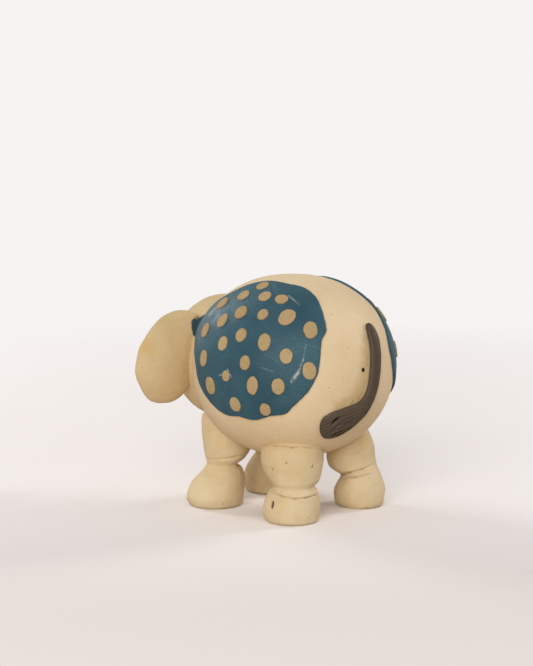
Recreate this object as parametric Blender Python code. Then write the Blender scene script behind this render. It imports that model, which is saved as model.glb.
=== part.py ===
"""A small hand-built stoneware elephant, 80 mm tall, in Blender units of metres.

The elephant faces -Y, its left side is +X and it stands on the floor at Z 0. The clay body with its
legs, head, trunk and ears is one fired piece. A blue slab patch lies on each flank with raised
pellets of tan clay on it, and a dark clay tail is laid on the rump.
"""

import math

import bmesh
import bpy
from mathutils import Matrix, Vector

MM = 0.001

# Fit between pieces, in millimetres
SEAT_GAP = 0.3

# Barrel of the body, in millimetres
BARREL_HALF_WIDTH = 33.0
BARREL_HALF_LENGTH = 34.5
BARREL_HALF_HEIGHT = 31.2
BARREL_FULLNESS = 2.1
BELLY_HEIGHT = 17.6
BARREL_BEHIND_ORIGIN = 18.3
VENT_DIAMETER = 1.2
VENT_DEPTH = 3.0
VENT_SIDE = 7.1
VENT_LATITUDE = 3.1

# Head, in millimetres, its centre measured from the barrel's centre
HEAD_HALF_WIDTH = 19.0
HEAD_HALF_LENGTH = 22.0
HEAD_HALF_HEIGHT = 22.0
HEAD_FORWARD = 30.0
HEAD_RISE = 0.7
EYE_DIAMETER = 3.0
EYE_THICKNESS = 0.9
EYE_AROUND = 56.0
EYE_LATITUDE = 14.0

# Trunk, a curl in the middle plane: forward of the head's centre, above it, and radius
TRUNK_ROUTE = (
    (14.0, 0.0, 6.6),
    (20.0, -3.2, 6.0),
    (26.0, -8.0, 5.3),
    (31.5, -12.0, 4.7),
    (36.0, -12.6, 4.2),
    (38.8, -9.6, 3.8),
    (39.6, -5.2, 3.4),
    (38.8, -2.2, 3.0),
)

# Ears, each a thick leaf that stands out from the side of the head
EAR_ROOT_WIDTH = 16.0
EAR_ROOT_FORWARD = 2.0
EAR_SWEEP = 21.3
EAR_THICKNESS = 4.4
EAR_CUP = 2.4
EAR_CENTRE_OUT = 10.0
EAR_CENTRE_RISE = 1.2
EAR_REACH = (10.9, 10.6, 10.7, 12.2, 15.0, 17.6, 18.6, 14.0, 11.0, 10.4, 12.6, 14.8, 15.9, 15.8, 13.6, 12.3)

# Legs: where each foot stands from under the barrel's centre, the way its back faces in degrees
# from the left, how far its top leans in sideways to that, and rows of height with how far the
# leg reaches to its front and to its back
FRONT_LEG = (
    (0.0, 8.4, 8.4), (0.8, 9.4, 9.2), (3.4, 10.1, 9.6), (7.7, 8.3, 10.2), (10.9, 5.4, 10.0),
    (13.0, 3.8, 9.0), (14.5, 3.1, 8.0), (16.6, 3.6, 10.2), (20.0, 4.0, 12.2), (26.5, 4.7, 12.6),
    (31.5, 4.4, 11.0), (34.0, 1.5, 7.0),
)
LEGS = {
    "rear_left": dict(x=16.5, y=14.0, back=132.0, lean=5.3, rows=(
        (0.0, 8.0, 8.4), (0.8, 8.9, 9.0), (2.8, 9.4, 9.3), (5.5, 9.2, 9.5), (9.2, 7.6, 8.8),
        (11.4, 6.9, 6.6), (13.4, 7.9, 9.0), (16.5, 9.2, 10.1), (20.0, 10.1, 10.6), (24.0, 10.1, 10.2),
        (27.0, 8.0, 8.0), (28.6, 4.0, 4.0),
    )),
    "rear_right": dict(x=-17.0, y=16.0, back=132.0, lean=0.8, rows=(
        (0.0, 7.2, 7.2), (0.8, 8.1, 8.0), (2.5, 8.8, 8.4), (5.6, 8.8, 8.6), (8.0, 7.8, 7.9),
        (10.0, 6.8, 7.3), (11.2, 7.4, 6.9), (12.5, 9.4, 6.3), (14.0, 10.8, 5.7), (17.0, 11.4, 5.1),
        (21.0, 11.0, 4.7), (25.0, 9.8, 3.4), (28.0, 7.0, 1.5),
    )),
    "front_left": dict(x=15.5, y=-21.6, back=132.0, lean=0.5, rows=FRONT_LEG),
    "front_right": dict(x=-14.5, y=-23.0, back=48.0, lean=-0.5, rows=FRONT_LEG),
}

# Patches: a slab on each flank, its reach in degrees from its middle at even bearings
PATCH_AROUND = 12.0
PATCH_LATITUDE = 21.0
PATCH_THICKNESS = 0.6
PATCH_REACH_LEFT = (42.2, 45.4, 47.3, 46.1, 45.4, 45.0, 46.4, 50.8, 48.4, 45.1, 47.5, 47.9, 45.6, 45.3, 45.6, 45.4)
PATCH_REACH_RIGHT = (55.0, 41.0, 38.0, 44.0, 46.0, 45.0, 46.0, 52.0, 51.0, 48.0, 48.0, 47.0, 48.0, 49.0, 50.0, 54.0)

# Spots: degrees back and up from the patch's middle, then width, length and lean of each pellet
SPOT_THICKNESS = 0.5
SPOTS = (
    (-4, 38, 3.9, 4.4, 20),
    (-13, 29, 4.1, 4.5, 25),
    (3, 28, 4.2, 4.4, 15),
    (14, 27, 4.4, 4.0, 10),
    (-8, 16, 4.5, 4.9, 15),
    (7, 15, 3.6, 4.1, 10),
    (21, 15, 5.0, 6.4, 35),
    (-20, 11, 3.9, 5.0, 10),
    (35, 10, 4.5, 5.9, 5),
    (-34, 6, 3.9, 5.1, 0),
    (-3, 2, 4.0, 4.6, 10),
    (-15, -3, 3.9, 4.8, 5),
    (12, -1, 4.1, 5.7, 0),
    (-31, -11, 3.8, 5.5, 0),
    (25, -7, 4.1, 4.9, -5),
    (2, -13, 3.7, 4.8, 0),
    (38, -13, 4.4, 5.8, -5),
    (-11, -21, 3.1, 3.6, 0),
    (-25, -27, 4.5, 5.9, -10),
    (7, -25, 3.8, 6.1, 5),
    (22, -24, 4.3, 5.2, 0),
    (-6, -37, 4.2, 5.0, -5),
    (14, -38, 3.7, 4.3, 0),
    (-28, 24, 4.2, 5.0, 20),
)
SPOT_TURN_RIGHT = 7.0
SPOT_REACH_RIGHT = 0.96

# Tail: degrees from the rump's middle to the left, latitude, half width and thickness
TAIL_ROUTE = (
    (-3.8, 28.0, 0.7, 0.7),
    (-4.2, 25.6, 1.7, 1.4),
    (-4.1, 20.5, 2.3, 1.7),
    (-3.3, 14.5, 2.4, 1.7),
    (-2.0, 7.5, 2.4, 1.7),
    (-0.7, 0.0, 2.4, 1.7),
    (0.6, -7.0, 2.3, 1.7),
    (2.7, -13.4, 2.6, 1.7),
    (6.8, -19.0, 3.5, 1.8),
    (13.4, -23.2, 4.7, 1.9),
    (20.6, -26.8, 5.4, 1.9),
    (26.6, -28.7, 5.2, 1.7),
    (30.4, -29.2, 3.6, 1.2),
)

# Facets
BARREL_FACETS = (48, 28)
HEAD_FACETS = (32, 20)
LEG_FACETS = 18
TRUNK_FACETS = 14
EAR_FACETS = 32
PATCH_FACETS = 44
SPOT_FACETS = 12

BARREL_CENTRE = Vector((0.0, BARREL_BEHIND_ORIGIN, BELLY_HEIGHT + BARREL_HALF_HEIGHT))
HEAD_CENTRE = BARREL_CENTRE + Vector((0.0, -HEAD_FORWARD, HEAD_RISE))


def make_material(name, colour, roughness):
    """Return a fired clay material with the given colour and roughness."""
    material = bpy.data.materials.new(name)
    material.use_nodes = True
    shader = material.node_tree.nodes["Principled BSDF"]
    shader.inputs["Base Color"].default_value = (*colour, 1.0)
    shader.inputs["Roughness"].default_value = roughness
    shader.inputs["Metallic"].default_value = 0.0
    material.diffuse_color = (*colour, 1.0)
    return material


def make_object(name, mesh_builder, material, helper=False):
    """Turn a mesh being built in millimetres into a named object in metres."""
    bmesh.ops.recalc_face_normals(mesh_builder, faces=mesh_builder.faces)
    bmesh.ops.scale(mesh_builder, vec=(MM, MM, MM), verts=mesh_builder.verts)
    mesh = bpy.data.meshes.new(name)
    mesh_builder.to_mesh(mesh)
    mesh_builder.free()
    mesh.materials.append(material)
    mesh.shade_smooth()
    mesh.set_sharp_from_angle(angle=math.radians(50))
    part = bpy.data.objects.new(name, mesh)
    bpy.context.scene.collection.objects.link(part)
    if helper:
        part.hide_render = True
        part.display_type = "WIRE"
    return part


def superellipsoid_point(centre, halves, fullness, direction, height):
    """Return the point of a full ellipsoid in a direction, raised along the surface's normal."""
    unit = direction.normalized()
    shares = [abs(unit[i]) / halves[i] for i in range(3)]
    reach = sum(share ** fullness for share in shares) ** (-1.0 / fullness)
    point = unit * reach
    slope = [math.copysign((abs(point[i]) / halves[i]) ** (fullness - 1.0) / halves[i], point[i]) for i in range(3)]
    return centre + point + Vector(slope).normalized() * height


def barrel_point(direction, height=0.0):
    """Return a point on the barrel in a direction from its centre."""
    halves = (BARREL_HALF_WIDTH, BARREL_HALF_LENGTH, BARREL_HALF_HEIGHT)
    return superellipsoid_point(BARREL_CENTRE, halves, BARREL_FULLNESS, direction, height)


def head_point(direction, height=0.0):
    """Return a point on the head in a direction from its centre."""
    halves = (HEAD_HALF_WIDTH, HEAD_HALF_LENGTH, HEAD_HALF_HEIGHT)
    return superellipsoid_point(HEAD_CENTRE, halves, 2.0, direction, height)


def smooth_reach(reaches, bearing):
    """Read a closed outline, given at even bearings, at any bearing in degrees."""
    count = len(reaches)
    place = (bearing % 360.0) / 360.0 * count
    i = int(place)
    t = place - i
    a, b, c, d = (reaches[(i + k - 1) % count] for k in range(4))
    return 0.5 * (2 * b + (c - a) * t + (2 * a - 5 * b + 4 * c - d) * t * t + (3 * b - a - 3 * c + d) * t ** 3)


def smooth_route(rows, steps):
    """Return rows of numbers along a smooth curve through the given rows."""
    out = []
    for i in range(len(rows) - 1):
        a, b = rows[max(i - 1, 0)], rows[i]
        c, d = rows[i + 1], rows[min(i + 2, len(rows) - 1)]
        for k in range(steps):
            t = k / steps
            out.append([
                0.5 * (2 * q + (r - p) * t + (2 * p - 5 * q + 4 * r - s) * t * t + (3 * q - p - 3 * r + s) * t ** 3)
                for p, q, r, s in zip(a, b, c, d)
            ])
    out.append(list(rows[-1]))
    return out


def loft(rings, start=None, end=None):
    """Skin a row of equal rings, each end closed by a flat face or by a fan to a point."""
    bm = bmesh.new()
    rows = [[bm.verts.new(point) for point in ring] for ring in rings]
    count = len(rows[0])
    for lower, upper in zip(rows, rows[1:]):
        for i in range(count):
            j = (i + 1) % count
            bm.faces.new((lower[i], lower[j], upper[j], upper[i]))
    for row, tip in ((rows[0], start), (rows[-1], end)):
        if tip is None:
            bm.faces.new(row)
            continue
        pole = bm.verts.new(tip)
        for i in range(count):
            bm.faces.new((row[i], row[(i + 1) % count], pole))
    return bm


def ball(facets, surface):
    """Return a sphere of facets whose points are placed on a surface by their direction."""
    bm = bmesh.new()
    bmesh.ops.create_uvsphere(bm, u_segments=facets[0], v_segments=facets[1], radius=1.0)
    for vertex in bm.verts:
        vertex.co = surface(vertex.co)
    return bm


def leg(x, y, back, lean, rows):
    """Return a leg with a flat sole, narrowed at its waist and leaning in under the belly."""
    turn = math.radians(back)
    aft = Vector((math.cos(turn), math.sin(turn), 0.0))
    inward = Vector((-math.sin(turn), math.cos(turn), 0.0))
    top = rows[-1][0]
    foot = Vector((x, BARREL_BEHIND_ORIGIN + y, 0.0))
    rings = []
    for height, fore_reach, aft_reach in rows:
        half = (fore_reach + aft_reach) / 2
        middle = foot + aft * (aft_reach - fore_reach) / 2 + inward * lean * height / top
        middle.z = height
        rings.append([
            middle + (aft * math.cos(a) + inward * math.sin(a)) * half
            for a in (math.tau * k / LEG_FACETS for k in range(LEG_FACETS))
        ])
    return loft(rings, end=sum(rings[-1], Vector()) / LEG_FACETS + Vector((0, 0, 0.5)))


def trunk():
    """Return the trunk, a tapering tube that curls forwards and up."""
    route = smooth_route(TRUNK_ROUTE, 2)
    rings = []
    for i, (forward, rise, radius) in enumerate(route):
        before, after = route[max(i - 1, 0)], route[min(i + 1, len(route) - 1)]
        along = Vector((0.0, before[0] - after[0], after[1] - before[1])).normalized()
        across = Vector((1.0, 0.0, 0.0))
        over = along.cross(across)
        middle = HEAD_CENTRE + Vector((0.0, -forward, rise))
        rings.append([
            middle + (across * math.cos(a) + over * math.sin(a)) * radius
            for a in (math.tau * k / TRUNK_FACETS for k in range(TRUNK_FACETS))
        ])
    forward, rise, radius = route[-1]
    tip = HEAD_CENTRE + Vector((0.0, -forward, rise)) + along * radius * 0.35
    return loft(rings, end=tip)


def ear(side):
    """Return an ear, cupped forwards, with a rounded rim; side is 1 for the left and -1 for the right."""
    sweep = math.radians(EAR_SWEEP)
    outward = Vector((side * math.cos(sweep), -math.sin(sweep), 0.0))
    rearward = Vector((side * math.sin(sweep), math.cos(sweep), 0.0))
    root = Vector((side * EAR_ROOT_WIDTH, HEAD_CENTRE.y - EAR_ROOT_FORWARD, HEAD_CENTRE.z))
    middle = root + outward * EAR_CENTRE_OUT + Vector((0, 0, EAR_CENTRE_RISE))
    half = EAR_THICKNESS / 2

    def ring(share, depth):
        points = []
        for k in range(EAR_FACETS):
            bearing = 360.0 * k / EAR_FACETS
            reach = share * smooth_reach(EAR_REACH, bearing)
            angle = math.radians(bearing)
            cup = EAR_CUP * (1.0 - share * share)
            spot = middle + outward * reach * math.cos(angle) + Vector((0, 0, reach * math.sin(angle)))
            points.append(spot + rearward * (depth + cup))
        return points

    rings = [
        ring(0.4, half), ring(0.75, half * 0.95), ring(0.93, half * 0.68), ring(1.0, 0.0),
        ring(0.93, -half * 0.68), ring(0.75, -half * 0.9), ring(0.4, -half * 0.75),
    ]
    back = middle + rearward * (half + EAR_CUP)
    front = middle + rearward * (EAR_CUP - half * 0.7)
    return loft(rings, start=back, end=front)


def side_direction(side, reach, bearing):
    """Return a direction from the barrel's centre, by reach and bearing from the patch's middle."""
    around, latitude = math.radians(PATCH_AROUND), math.radians(PATCH_LATITUDE)
    middle = Vector((math.cos(latitude) * math.cos(around), math.cos(latitude) * math.sin(around), math.sin(latitude)))
    back = Vector((-math.sin(around), math.cos(around), 0.0))
    up = middle.cross(back)
    reach, bearing = math.radians(reach), math.radians(bearing)
    out = middle * math.cos(reach) + (back * math.cos(bearing) + up * math.sin(bearing)) * math.sin(reach)
    out.x *= side
    return out


def patch(side, reaches):
    """Return a thin slab that lies on one flank, with a softened edge."""
    def ring(share, height):
        points = []
        for k in range(PATCH_FACETS):
            bearing = 360.0 * k / PATCH_FACETS
            points.append(barrel_point(side_direction(side, share * smooth_reach(reaches, bearing), bearing), height))
        return points

    low, high = SEAT_GAP, SEAT_GAP + PATCH_THICKNESS
    shares = (0.2, 0.4, 0.6, 0.8)
    rings = [ring(share, low) for share in shares]
    rings += [ring(0.985, low), ring(1.0, (low + high) / 2), ring(0.985, high)]
    rings += [ring(share, high) for share in reversed(shares)]
    middle = side_direction(side, 0.0, 0.0)
    return loft(rings, start=barrel_point(middle, low), end=barrel_point(middle, high))


def pellet(surface, middle, lean_axis, width, length, lean, base, thickness):
    """Return a small flattened pellet on a surface, its length turned by a lean in degrees."""
    anchor = surface(middle, base)
    normal = (surface(middle, base + 1.0) - anchor).normalized()
    up = (lean_axis - normal * lean_axis.dot(normal)).normalized()
    across = up.cross(normal)
    turn = math.radians(lean)
    long_way = up * math.cos(turn) + across * math.sin(turn)
    wide_way = across * math.cos(turn) - up * math.sin(turn)
    centre = anchor - normal * base

    def ring(share, height):
        points = []
        for k in range(SPOT_FACETS):
            angle = math.tau * k / SPOT_FACETS
            flat = centre + (wide_way * math.cos(angle) * width + long_way * math.sin(angle) * length) * share / 2
            points.append(lift(flat, height))
        return points

    def lift(flat, height):
        origin = HEAD_CENTRE if surface is head_point else BARREL_CENTRE
        return surface(flat - origin, height)

    rings = [ring(1.0, base), ring(0.97, base + thickness * 0.6), ring(0.8, base + thickness)]
    return loft(rings, start=lift(centre, base), end=lift(centre, base + thickness))


def tail():
    """Return the tail: a flat-backed roll down the rump that widens into a brush."""
    route = smooth_route(TAIL_ROUTE, 2)

    def place(row, height=0.0):
        side, latitude = math.radians(row[0]), math.radians(row[1])
        direction = Vector((math.sin(side) * math.cos(latitude), math.cos(side) * math.cos(latitude), math.sin(latitude)))
        return barrel_point(direction, height)

    rings = []
    for i, row in enumerate(route):
        here = place(row)
        along = (place(route[min(i + 1, len(route) - 1)]) - place(route[max(i - 1, 0)])).normalized()
        normal = (place(row, 1.0) - here).normalized()
        across = along.cross(normal).normalized()
        section = [(-0.5, 0.0), (0.0, 0.0), (0.5, 0.0)]
        section += [(math.cos(math.pi * k / 8), math.sin(math.pi * k / 8) ** 0.8) for k in range(9)]
        rings.append([
            barrel_point(here + across * row[2] * share - BARREL_CENTRE, SEAT_GAP + row[3] * rise)
            for share, rise in section
        ])
    start = place(route[0], SEAT_GAP + route[0][3] / 2)
    last = place(route[-1])
    end = barrel_point(last + along * route[-1][2] * 0.6 - BARREL_CENTRE, SEAT_GAP + route[-1][3] * 0.45)
    return loft(rings, start=start, end=end)


def vent():
    """Return the pin that pricks the small vent beside the tail."""
    side, latitude = math.radians(VENT_SIDE), math.radians(VENT_LATITUDE)
    direction = Vector((math.sin(side) * math.cos(latitude), math.cos(side) * math.cos(latitude), math.sin(latitude)))
    mouth = barrel_point(direction)
    inward = (mouth - barrel_point(direction, 1.0)).normalized()
    bm = bmesh.new()
    bmesh.ops.create_cone(bm, cap_ends=True, segments=12, radius1=VENT_DIAMETER / 2,
                          radius2=VENT_DIAMETER / 2, depth=2 * VENT_DEPTH)
    turn = Vector((0, 0, 1)).rotation_difference(inward).to_matrix().to_4x4()
    bmesh.ops.transform(bm, matrix=Matrix.Translation(mouth) @ turn, verts=bm.verts)
    return bm


def join(base, other, operation):
    """Add an exact Boolean step to an object."""
    step = base.modifiers.new(other.name, "BOOLEAN")
    step.operation = operation
    step.solver = "EXACT"
    step.object = other


def main():
    """Model the whole elephant."""
    for old in list(bpy.data.objects):
        bpy.data.objects.remove(old, do_unlink=True)

    tan_clay = make_material("tan_clay", (0.62, 0.49, 0.33), 0.8)
    blue_slip = make_material("blue_slip", (0.045, 0.105, 0.15), 0.5)
    spot_clay = make_material("spot_clay", (0.56, 0.41, 0.22), 0.85)
    dark_clay = make_material("dark_clay", (0.095, 0.068, 0.052), 0.5)

    body = make_object("body", ball(BARREL_FACETS, barrel_point), tan_clay)
    adds = [make_object("shape_head", ball(HEAD_FACETS, head_point), tan_clay, helper=True)]
    adds.append(make_object("shape_trunk", trunk(), tan_clay, helper=True))
    for side, word in ((1, "left"), (-1, "right")):
        adds.append(make_object(f"shape_ear_{word}", ear(side), tan_clay, helper=True))
    for name, sizes in LEGS.items():
        adds.append(make_object(f"shape_leg_{name}", leg(**sizes), tan_clay, helper=True))
    for other in adds:
        join(body, other, "UNION")
    join(body, make_object("shape_vent", vent(), tan_clay, helper=True), "DIFFERENCE")

    room = make_object(
        "shape_head_room",
        ball(HEAD_FACETS, lambda direction: head_point(direction, SEAT_GAP)),
        tan_clay,
        helper=True,
    )
    for side, word, reaches in ((1, "left", PATCH_REACH_LEFT), (-1, "right", PATCH_REACH_RIGHT)):
        slab = make_object(f"patch_{word}", patch(side, reaches), blue_slip)
        join(slab, room, "DIFFERENCE")

    base = SEAT_GAP + PATCH_THICKNESS + SEAT_GAP
    for side, word in ((1, "left"), (-1, "right")):
        for number, (back, up, width, length, lean) in enumerate(SPOTS, start=1):
            reach, bearing = math.hypot(back, up), math.degrees(math.atan2(up, back))
            if side < 0:
                reach, bearing = reach * SPOT_REACH_RIGHT, bearing + SPOT_TURN_RIGHT
            middle = side_direction(side, reach, bearing)
            spot = pellet(barrel_point, middle, Vector((0, 0, 1)), width, length, side * lean, base, SPOT_THICKNESS)
            make_object(f"spot_{word}_{number:02d}", spot, spot_clay)

    make_object("tail", tail(), dark_clay)
    for side, word in ((1, "left"), (-1, "right")):
        around, latitude = math.radians(EYE_AROUND), math.radians(EYE_LATITUDE)
        middle = Vector((
            side * math.sin(around) * math.cos(latitude),
            -math.cos(around) * math.cos(latitude),
            math.sin(latitude),
        ))
        eye = pellet(head_point, middle, Vector((0, 0, 1)), EYE_DIAMETER, EYE_DIAMETER, 0.0, SEAT_GAP, EYE_THICKNESS)
        make_object(f"eye_{word}", eye, dark_clay)


if __name__ == "__main__":
    main()
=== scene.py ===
"""Fine surface and look of a small hand-built stoneware elephant, 80 mm tall.

The elephant faces -Y and its left side is +X. Every shape is worked out in millimetres and turned
into metres when its mesh is made.
"""

import logging
import math
from dataclasses import dataclass, field
from enum import Enum
from typing import Callable, Iterable, Optional, Sequence

import bmesh
import bpy
from mathutils import Matrix, Vector, noise

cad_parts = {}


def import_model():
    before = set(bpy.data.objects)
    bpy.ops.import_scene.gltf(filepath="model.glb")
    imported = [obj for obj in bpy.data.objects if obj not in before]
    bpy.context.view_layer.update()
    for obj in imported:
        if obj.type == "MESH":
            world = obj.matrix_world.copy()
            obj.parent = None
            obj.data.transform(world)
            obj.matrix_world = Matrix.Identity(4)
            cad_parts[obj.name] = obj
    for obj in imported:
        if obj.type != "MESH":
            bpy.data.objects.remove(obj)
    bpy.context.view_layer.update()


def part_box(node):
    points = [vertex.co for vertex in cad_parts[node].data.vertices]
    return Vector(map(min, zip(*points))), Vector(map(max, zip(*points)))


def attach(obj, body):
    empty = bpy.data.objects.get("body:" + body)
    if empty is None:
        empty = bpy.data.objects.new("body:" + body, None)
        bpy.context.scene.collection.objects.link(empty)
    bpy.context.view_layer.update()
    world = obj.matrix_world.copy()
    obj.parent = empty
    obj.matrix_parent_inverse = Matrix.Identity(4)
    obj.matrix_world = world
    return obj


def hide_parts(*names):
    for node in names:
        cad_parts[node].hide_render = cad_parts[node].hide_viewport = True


MM = 0.001
IMAGE_WIDTH = 533
IMAGE_HEIGHT = 666

log = logging.getLogger("elephant")

Colour = tuple[float, float, float]
Ring = list[Vector]
BMesh = bmesh.types.BMesh
Material = bpy.types.Material
Socket = bpy.types.NodeSocket


class Side(Enum):
    """Side of the elephant; the value is the sign of X."""

    LEFT = 1
    RIGHT = -1

    @property
    def word(self) -> str:
        """The side's name in piece names."""
        return self.name.lower()


def srgb(red: int, green: int, blue: int) -> Colour:
    """Turn a colour in screen values into linear light.

    Args:
        red: Red from 0 to 255.
        green: Green from 0 to 255.
        blue: Blue from 0 to 255.

    Returns:
        The linear colour.
    """
    def linear(value: float) -> float:
        """One channel of the conversion."""
        share = value / 255.0
        return share / 12.92 if share <= 0.04045 else ((share + 0.055) / 1.055) ** 2.4

    return linear(red), linear(green), linear(blue)


def blend_four(rows: Sequence[float], t: float) -> float:
    """Read a smooth curve between the middle two of four values.

    Args:
        rows: Four values in order.
        t: Place between the second and the third, from 0 to 1.

    Returns:
        The value on the curve.
    """
    a, b, c, d = rows
    bend = 2 * a - 5 * b + 4 * c - d
    twist = 3 * b - a - 3 * c + d
    return 0.5 * (2 * b + (c - a) * t + bend * t * t + twist * t ** 3)


def read_closed(values: Sequence[float], bearing: float) -> float:
    """Read a smooth closed outline that is given at even bearings.

    Args:
        values: The outline's reach at even bearings.
        bearing: The wanted bearing in degrees.

    Returns:
        The reach at that bearing.
    """
    count = len(values)
    place = (bearing % 360.0) / 360.0 * count
    first = int(place)
    return blend_four([values[(first + k - 1) % count] for k in range(4)], place - first)


def read_cut(corners: Sequence[tuple[float, float]], bearing: float) -> float:
    """Read a closed outline cut in short straight strokes.

    Args:
        corners: Bearing and reach of each corner, in order.
        bearing: The wanted bearing in degrees.

    Returns:
        The reach at that bearing.
    """
    bearing %= 360.0
    rows = [*corners, (corners[0][0] + 360.0, corners[0][1])]
    for (low, near), (high, far) in zip(rows, rows[1:]):
        if low <= bearing <= high:
            return near + (far - near) * (bearing - low) / (high - low)
    return rows[-1][1]


def read_open(rows: Sequence[Sequence[float]], place: float) -> list[float]:
    """Read rows of values along an open curve.

    Args:
        rows: Rows of values at places 0, 1, 2 and so on.
        place: The wanted place.

    Returns:
        The row of values at that place.
    """
    last = len(rows) - 1
    place = min(max(place, 0.0), last - 1e-6)
    first = int(place)
    four = [rows[min(max(first + k - 1, 0), last)] for k in range(4)]
    return [blend_four([row[i] for row in four], place - first) for i in range(len(rows[0]))]


def soft_step(low: float, high: float, value: float) -> float:
    """Rise smoothly from 0 at low to 1 at high."""
    t = min(max((value - low) / (high - low), 0.0), 1.0)
    return t * t * (3 - 2 * t)


def lump(point: Vector, size: float, seed: float = 0.0) -> float:
    """Give a smooth uneven value from about -1 to 1 at a point.

    Args:
        point: The point in millimetres.
        size: The size of the unevenness in millimetres.
        seed: Moves the pattern, so that two pieces differ.

    Returns:
        The value there.
    """
    return noise.noise(point / size + Vector((seed, -seed * 0.7, seed * 1.3)))


def lofted(rings: Sequence[Ring], start: Optional[Vector], end: Optional[Vector]) -> BMesh:
    """Skin a row of equal rings into one closed form.

    Args:
        rings: The rings, in millimetres.
        start: The point that closes the first ring, or None for a flat face.
        end: The point that closes the last ring, or None for a flat face.

    Returns:
        The mesh being built.
    """
    bm = bmesh.new()
    rows = [[bm.verts.new(point) for point in ring] for ring in rings]
    count = len(rows[0])
    for lower, upper in zip(rows, rows[1:]):
        for i in range(count):
            j = (i + 1) % count
            bm.faces.new((lower[i], lower[j], upper[j], upper[i]))
    for row, tip in ((rows[0], start), (rows[-1], end)):
        if tip is None:
            bm.faces.new(row)
            continue
        pole = bm.verts.new(tip)
        for i in range(count):
            bm.faces.new((row[i], row[(i + 1) % count], pole))
    return bm


def globe(around: int, up: int, place: Callable[[Vector], Vector]) -> BMesh:
    """Return a closed ball, with its points always in the same order.

    Args:
        around: Points round each level.
        up: Levels from the bottom to the top.
        place: Turns a direction of length 1 into a point in millimetres.

    Returns:
        The mesh being built.
    """
    rings = []
    for i in range(1, up):
        latitude = math.pi * (i / up - 0.5)
        flat, rise = math.cos(latitude), math.sin(latitude)
        turns = (math.tau * k / around for k in range(around))
        rings.append([place(Vector((math.cos(a) * flat, math.sin(a) * flat, rise))) for a in turns])
    return lofted(rings, place(Vector((0.0, 0.0, -1.0))), place(Vector((0.0, 0.0, 1.0))))


def finish_mesh(name: str, bm: BMesh) -> bpy.types.Object:
    """Turn a mesh being built in millimetres into a smooth object in metres.

    Args:
        name: The piece's name.
        bm: The mesh being built, which is used up.

    Returns:
        The object, linked into the scene.
    """
    bmesh.ops.recalc_face_normals(bm, faces=bm.faces)
    bmesh.ops.scale(bm, vec=(MM, MM, MM), verts=bm.verts)
    mesh = bpy.data.meshes.new(name)
    bm.to_mesh(mesh)
    bm.free()
    mesh.shade_smooth()
    piece = bpy.data.objects.new(name, mesh)
    bpy.context.scene.collection.objects.link(piece)
    return piece


def gathered(parts: Iterable[BMesh]) -> BMesh:
    """Put several closed forms into one mesh being built.

    Args:
        parts: The closed forms, which are used up.

    Returns:
        The mesh with all of them.
    """
    whole = bmesh.new()
    for part in parts:
        bmesh.ops.recalc_face_normals(part, faces=part.faces)
        mesh = bpy.data.meshes.new("part")
        part.to_mesh(mesh)
        part.free()
        whole.from_mesh(mesh)
        bpy.data.meshes.remove(mesh)
    return whole


def fused(name: str, parts: Iterable[BMesh], voxel: float, rounds: int) -> bpy.types.Object:
    """Press several closed forms together as soft clay.

    Args:
        name: The piece's name.
        parts: The closed forms in millimetres, which are used up.
        voxel: The fineness of the fused surface in millimetres.
        rounds: How many times the joints are smoothed.

    Returns:
        The fused object.
    """
    rough = finish_mesh(name + "_press", gathered(parts))
    remesh = rough.modifiers.new("press", "REMESH")
    remesh.mode = "VOXEL"
    remesh.voxel_size = voxel * MM
    smooth = rough.modifiers.new("wipe", "SMOOTH")
    smooth.factor = 0.5
    smooth.iterations = rounds
    graph = bpy.context.evaluated_depsgraph_get()
    mesh = bpy.data.meshes.new_from_object(rough.evaluated_get(graph))
    mesh.name = name
    mesh.shade_smooth()
    bpy.data.objects.remove(rough, do_unlink=True)
    piece = bpy.data.objects.new(name, mesh)
    bpy.context.scene.collection.objects.link(piece)
    return piece


def push(piece: bpy.types.Object, amount: Callable[[Vector, Vector], float]) -> None:
    """Move every point of a piece along its normal.

    Args:
        piece: The object.
        amount: Gives the move in millimetres from the point in millimetres and the normal.
    """
    moves = [(v, v.normal.copy() * amount(v.co / MM, v.normal) * MM) for v in piece.data.vertices]
    for vertex, move in moves:
        vertex.co += move
    piece.data.update()


@dataclass(frozen=True)
class Dome:
    """A full ellipsoid that other pieces lie on, in millimetres."""

    centre: Vector
    halves: tuple[float, float, float]
    fullness: float = 2.0

    def point(self, direction: Vector, height: float = 0.0) -> Vector:
        """Find a point on or over the surface.

        Args:
            direction: Direction from the centre.
            height: Height over the surface.

        Returns:
            The point.
        """
        unit = direction.normalized()
        total = sum((abs(unit[i]) / self.halves[i]) ** self.fullness for i in range(3))
        point = unit * total ** (-1.0 / self.fullness)
        slope = Vector([
            math.copysign((abs(point[i]) / self.halves[i]) ** (self.fullness - 1) / self.halves[i], point[i])
            for i in range(3)
        ])
        return self.centre + point + slope.normalized() * height

    def over(self, point: Vector, height: float) -> Vector:
        """Move a point onto the surface, at a height over it."""
        return self.point(point - self.centre, height)

    def normal(self, direction: Vector) -> Vector:
        """Return the surface's outward normal in a direction."""
        return (self.point(direction, 1.0) - self.point(direction)).normalized()

    def ball(self, around: int, up: int) -> BMesh:
        """Return the whole surface as a mesh being built."""
        return globe(around, up, self.point)


def rump_direction(side_degrees: float, latitude_degrees: float) -> Vector:
    """Return a direction by degrees from the rump's middle to the left, and latitude.

    Args:
        side_degrees: Turn towards the left from straight behind.
        latitude_degrees: Rise over the middle.

    Returns:
        The direction, one unit long.
    """
    side, latitude = math.radians(side_degrees), math.radians(latitude_degrees)
    flat = math.cos(latitude)
    return Vector((math.sin(side) * flat, math.cos(side) * flat, math.sin(latitude)))


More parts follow.
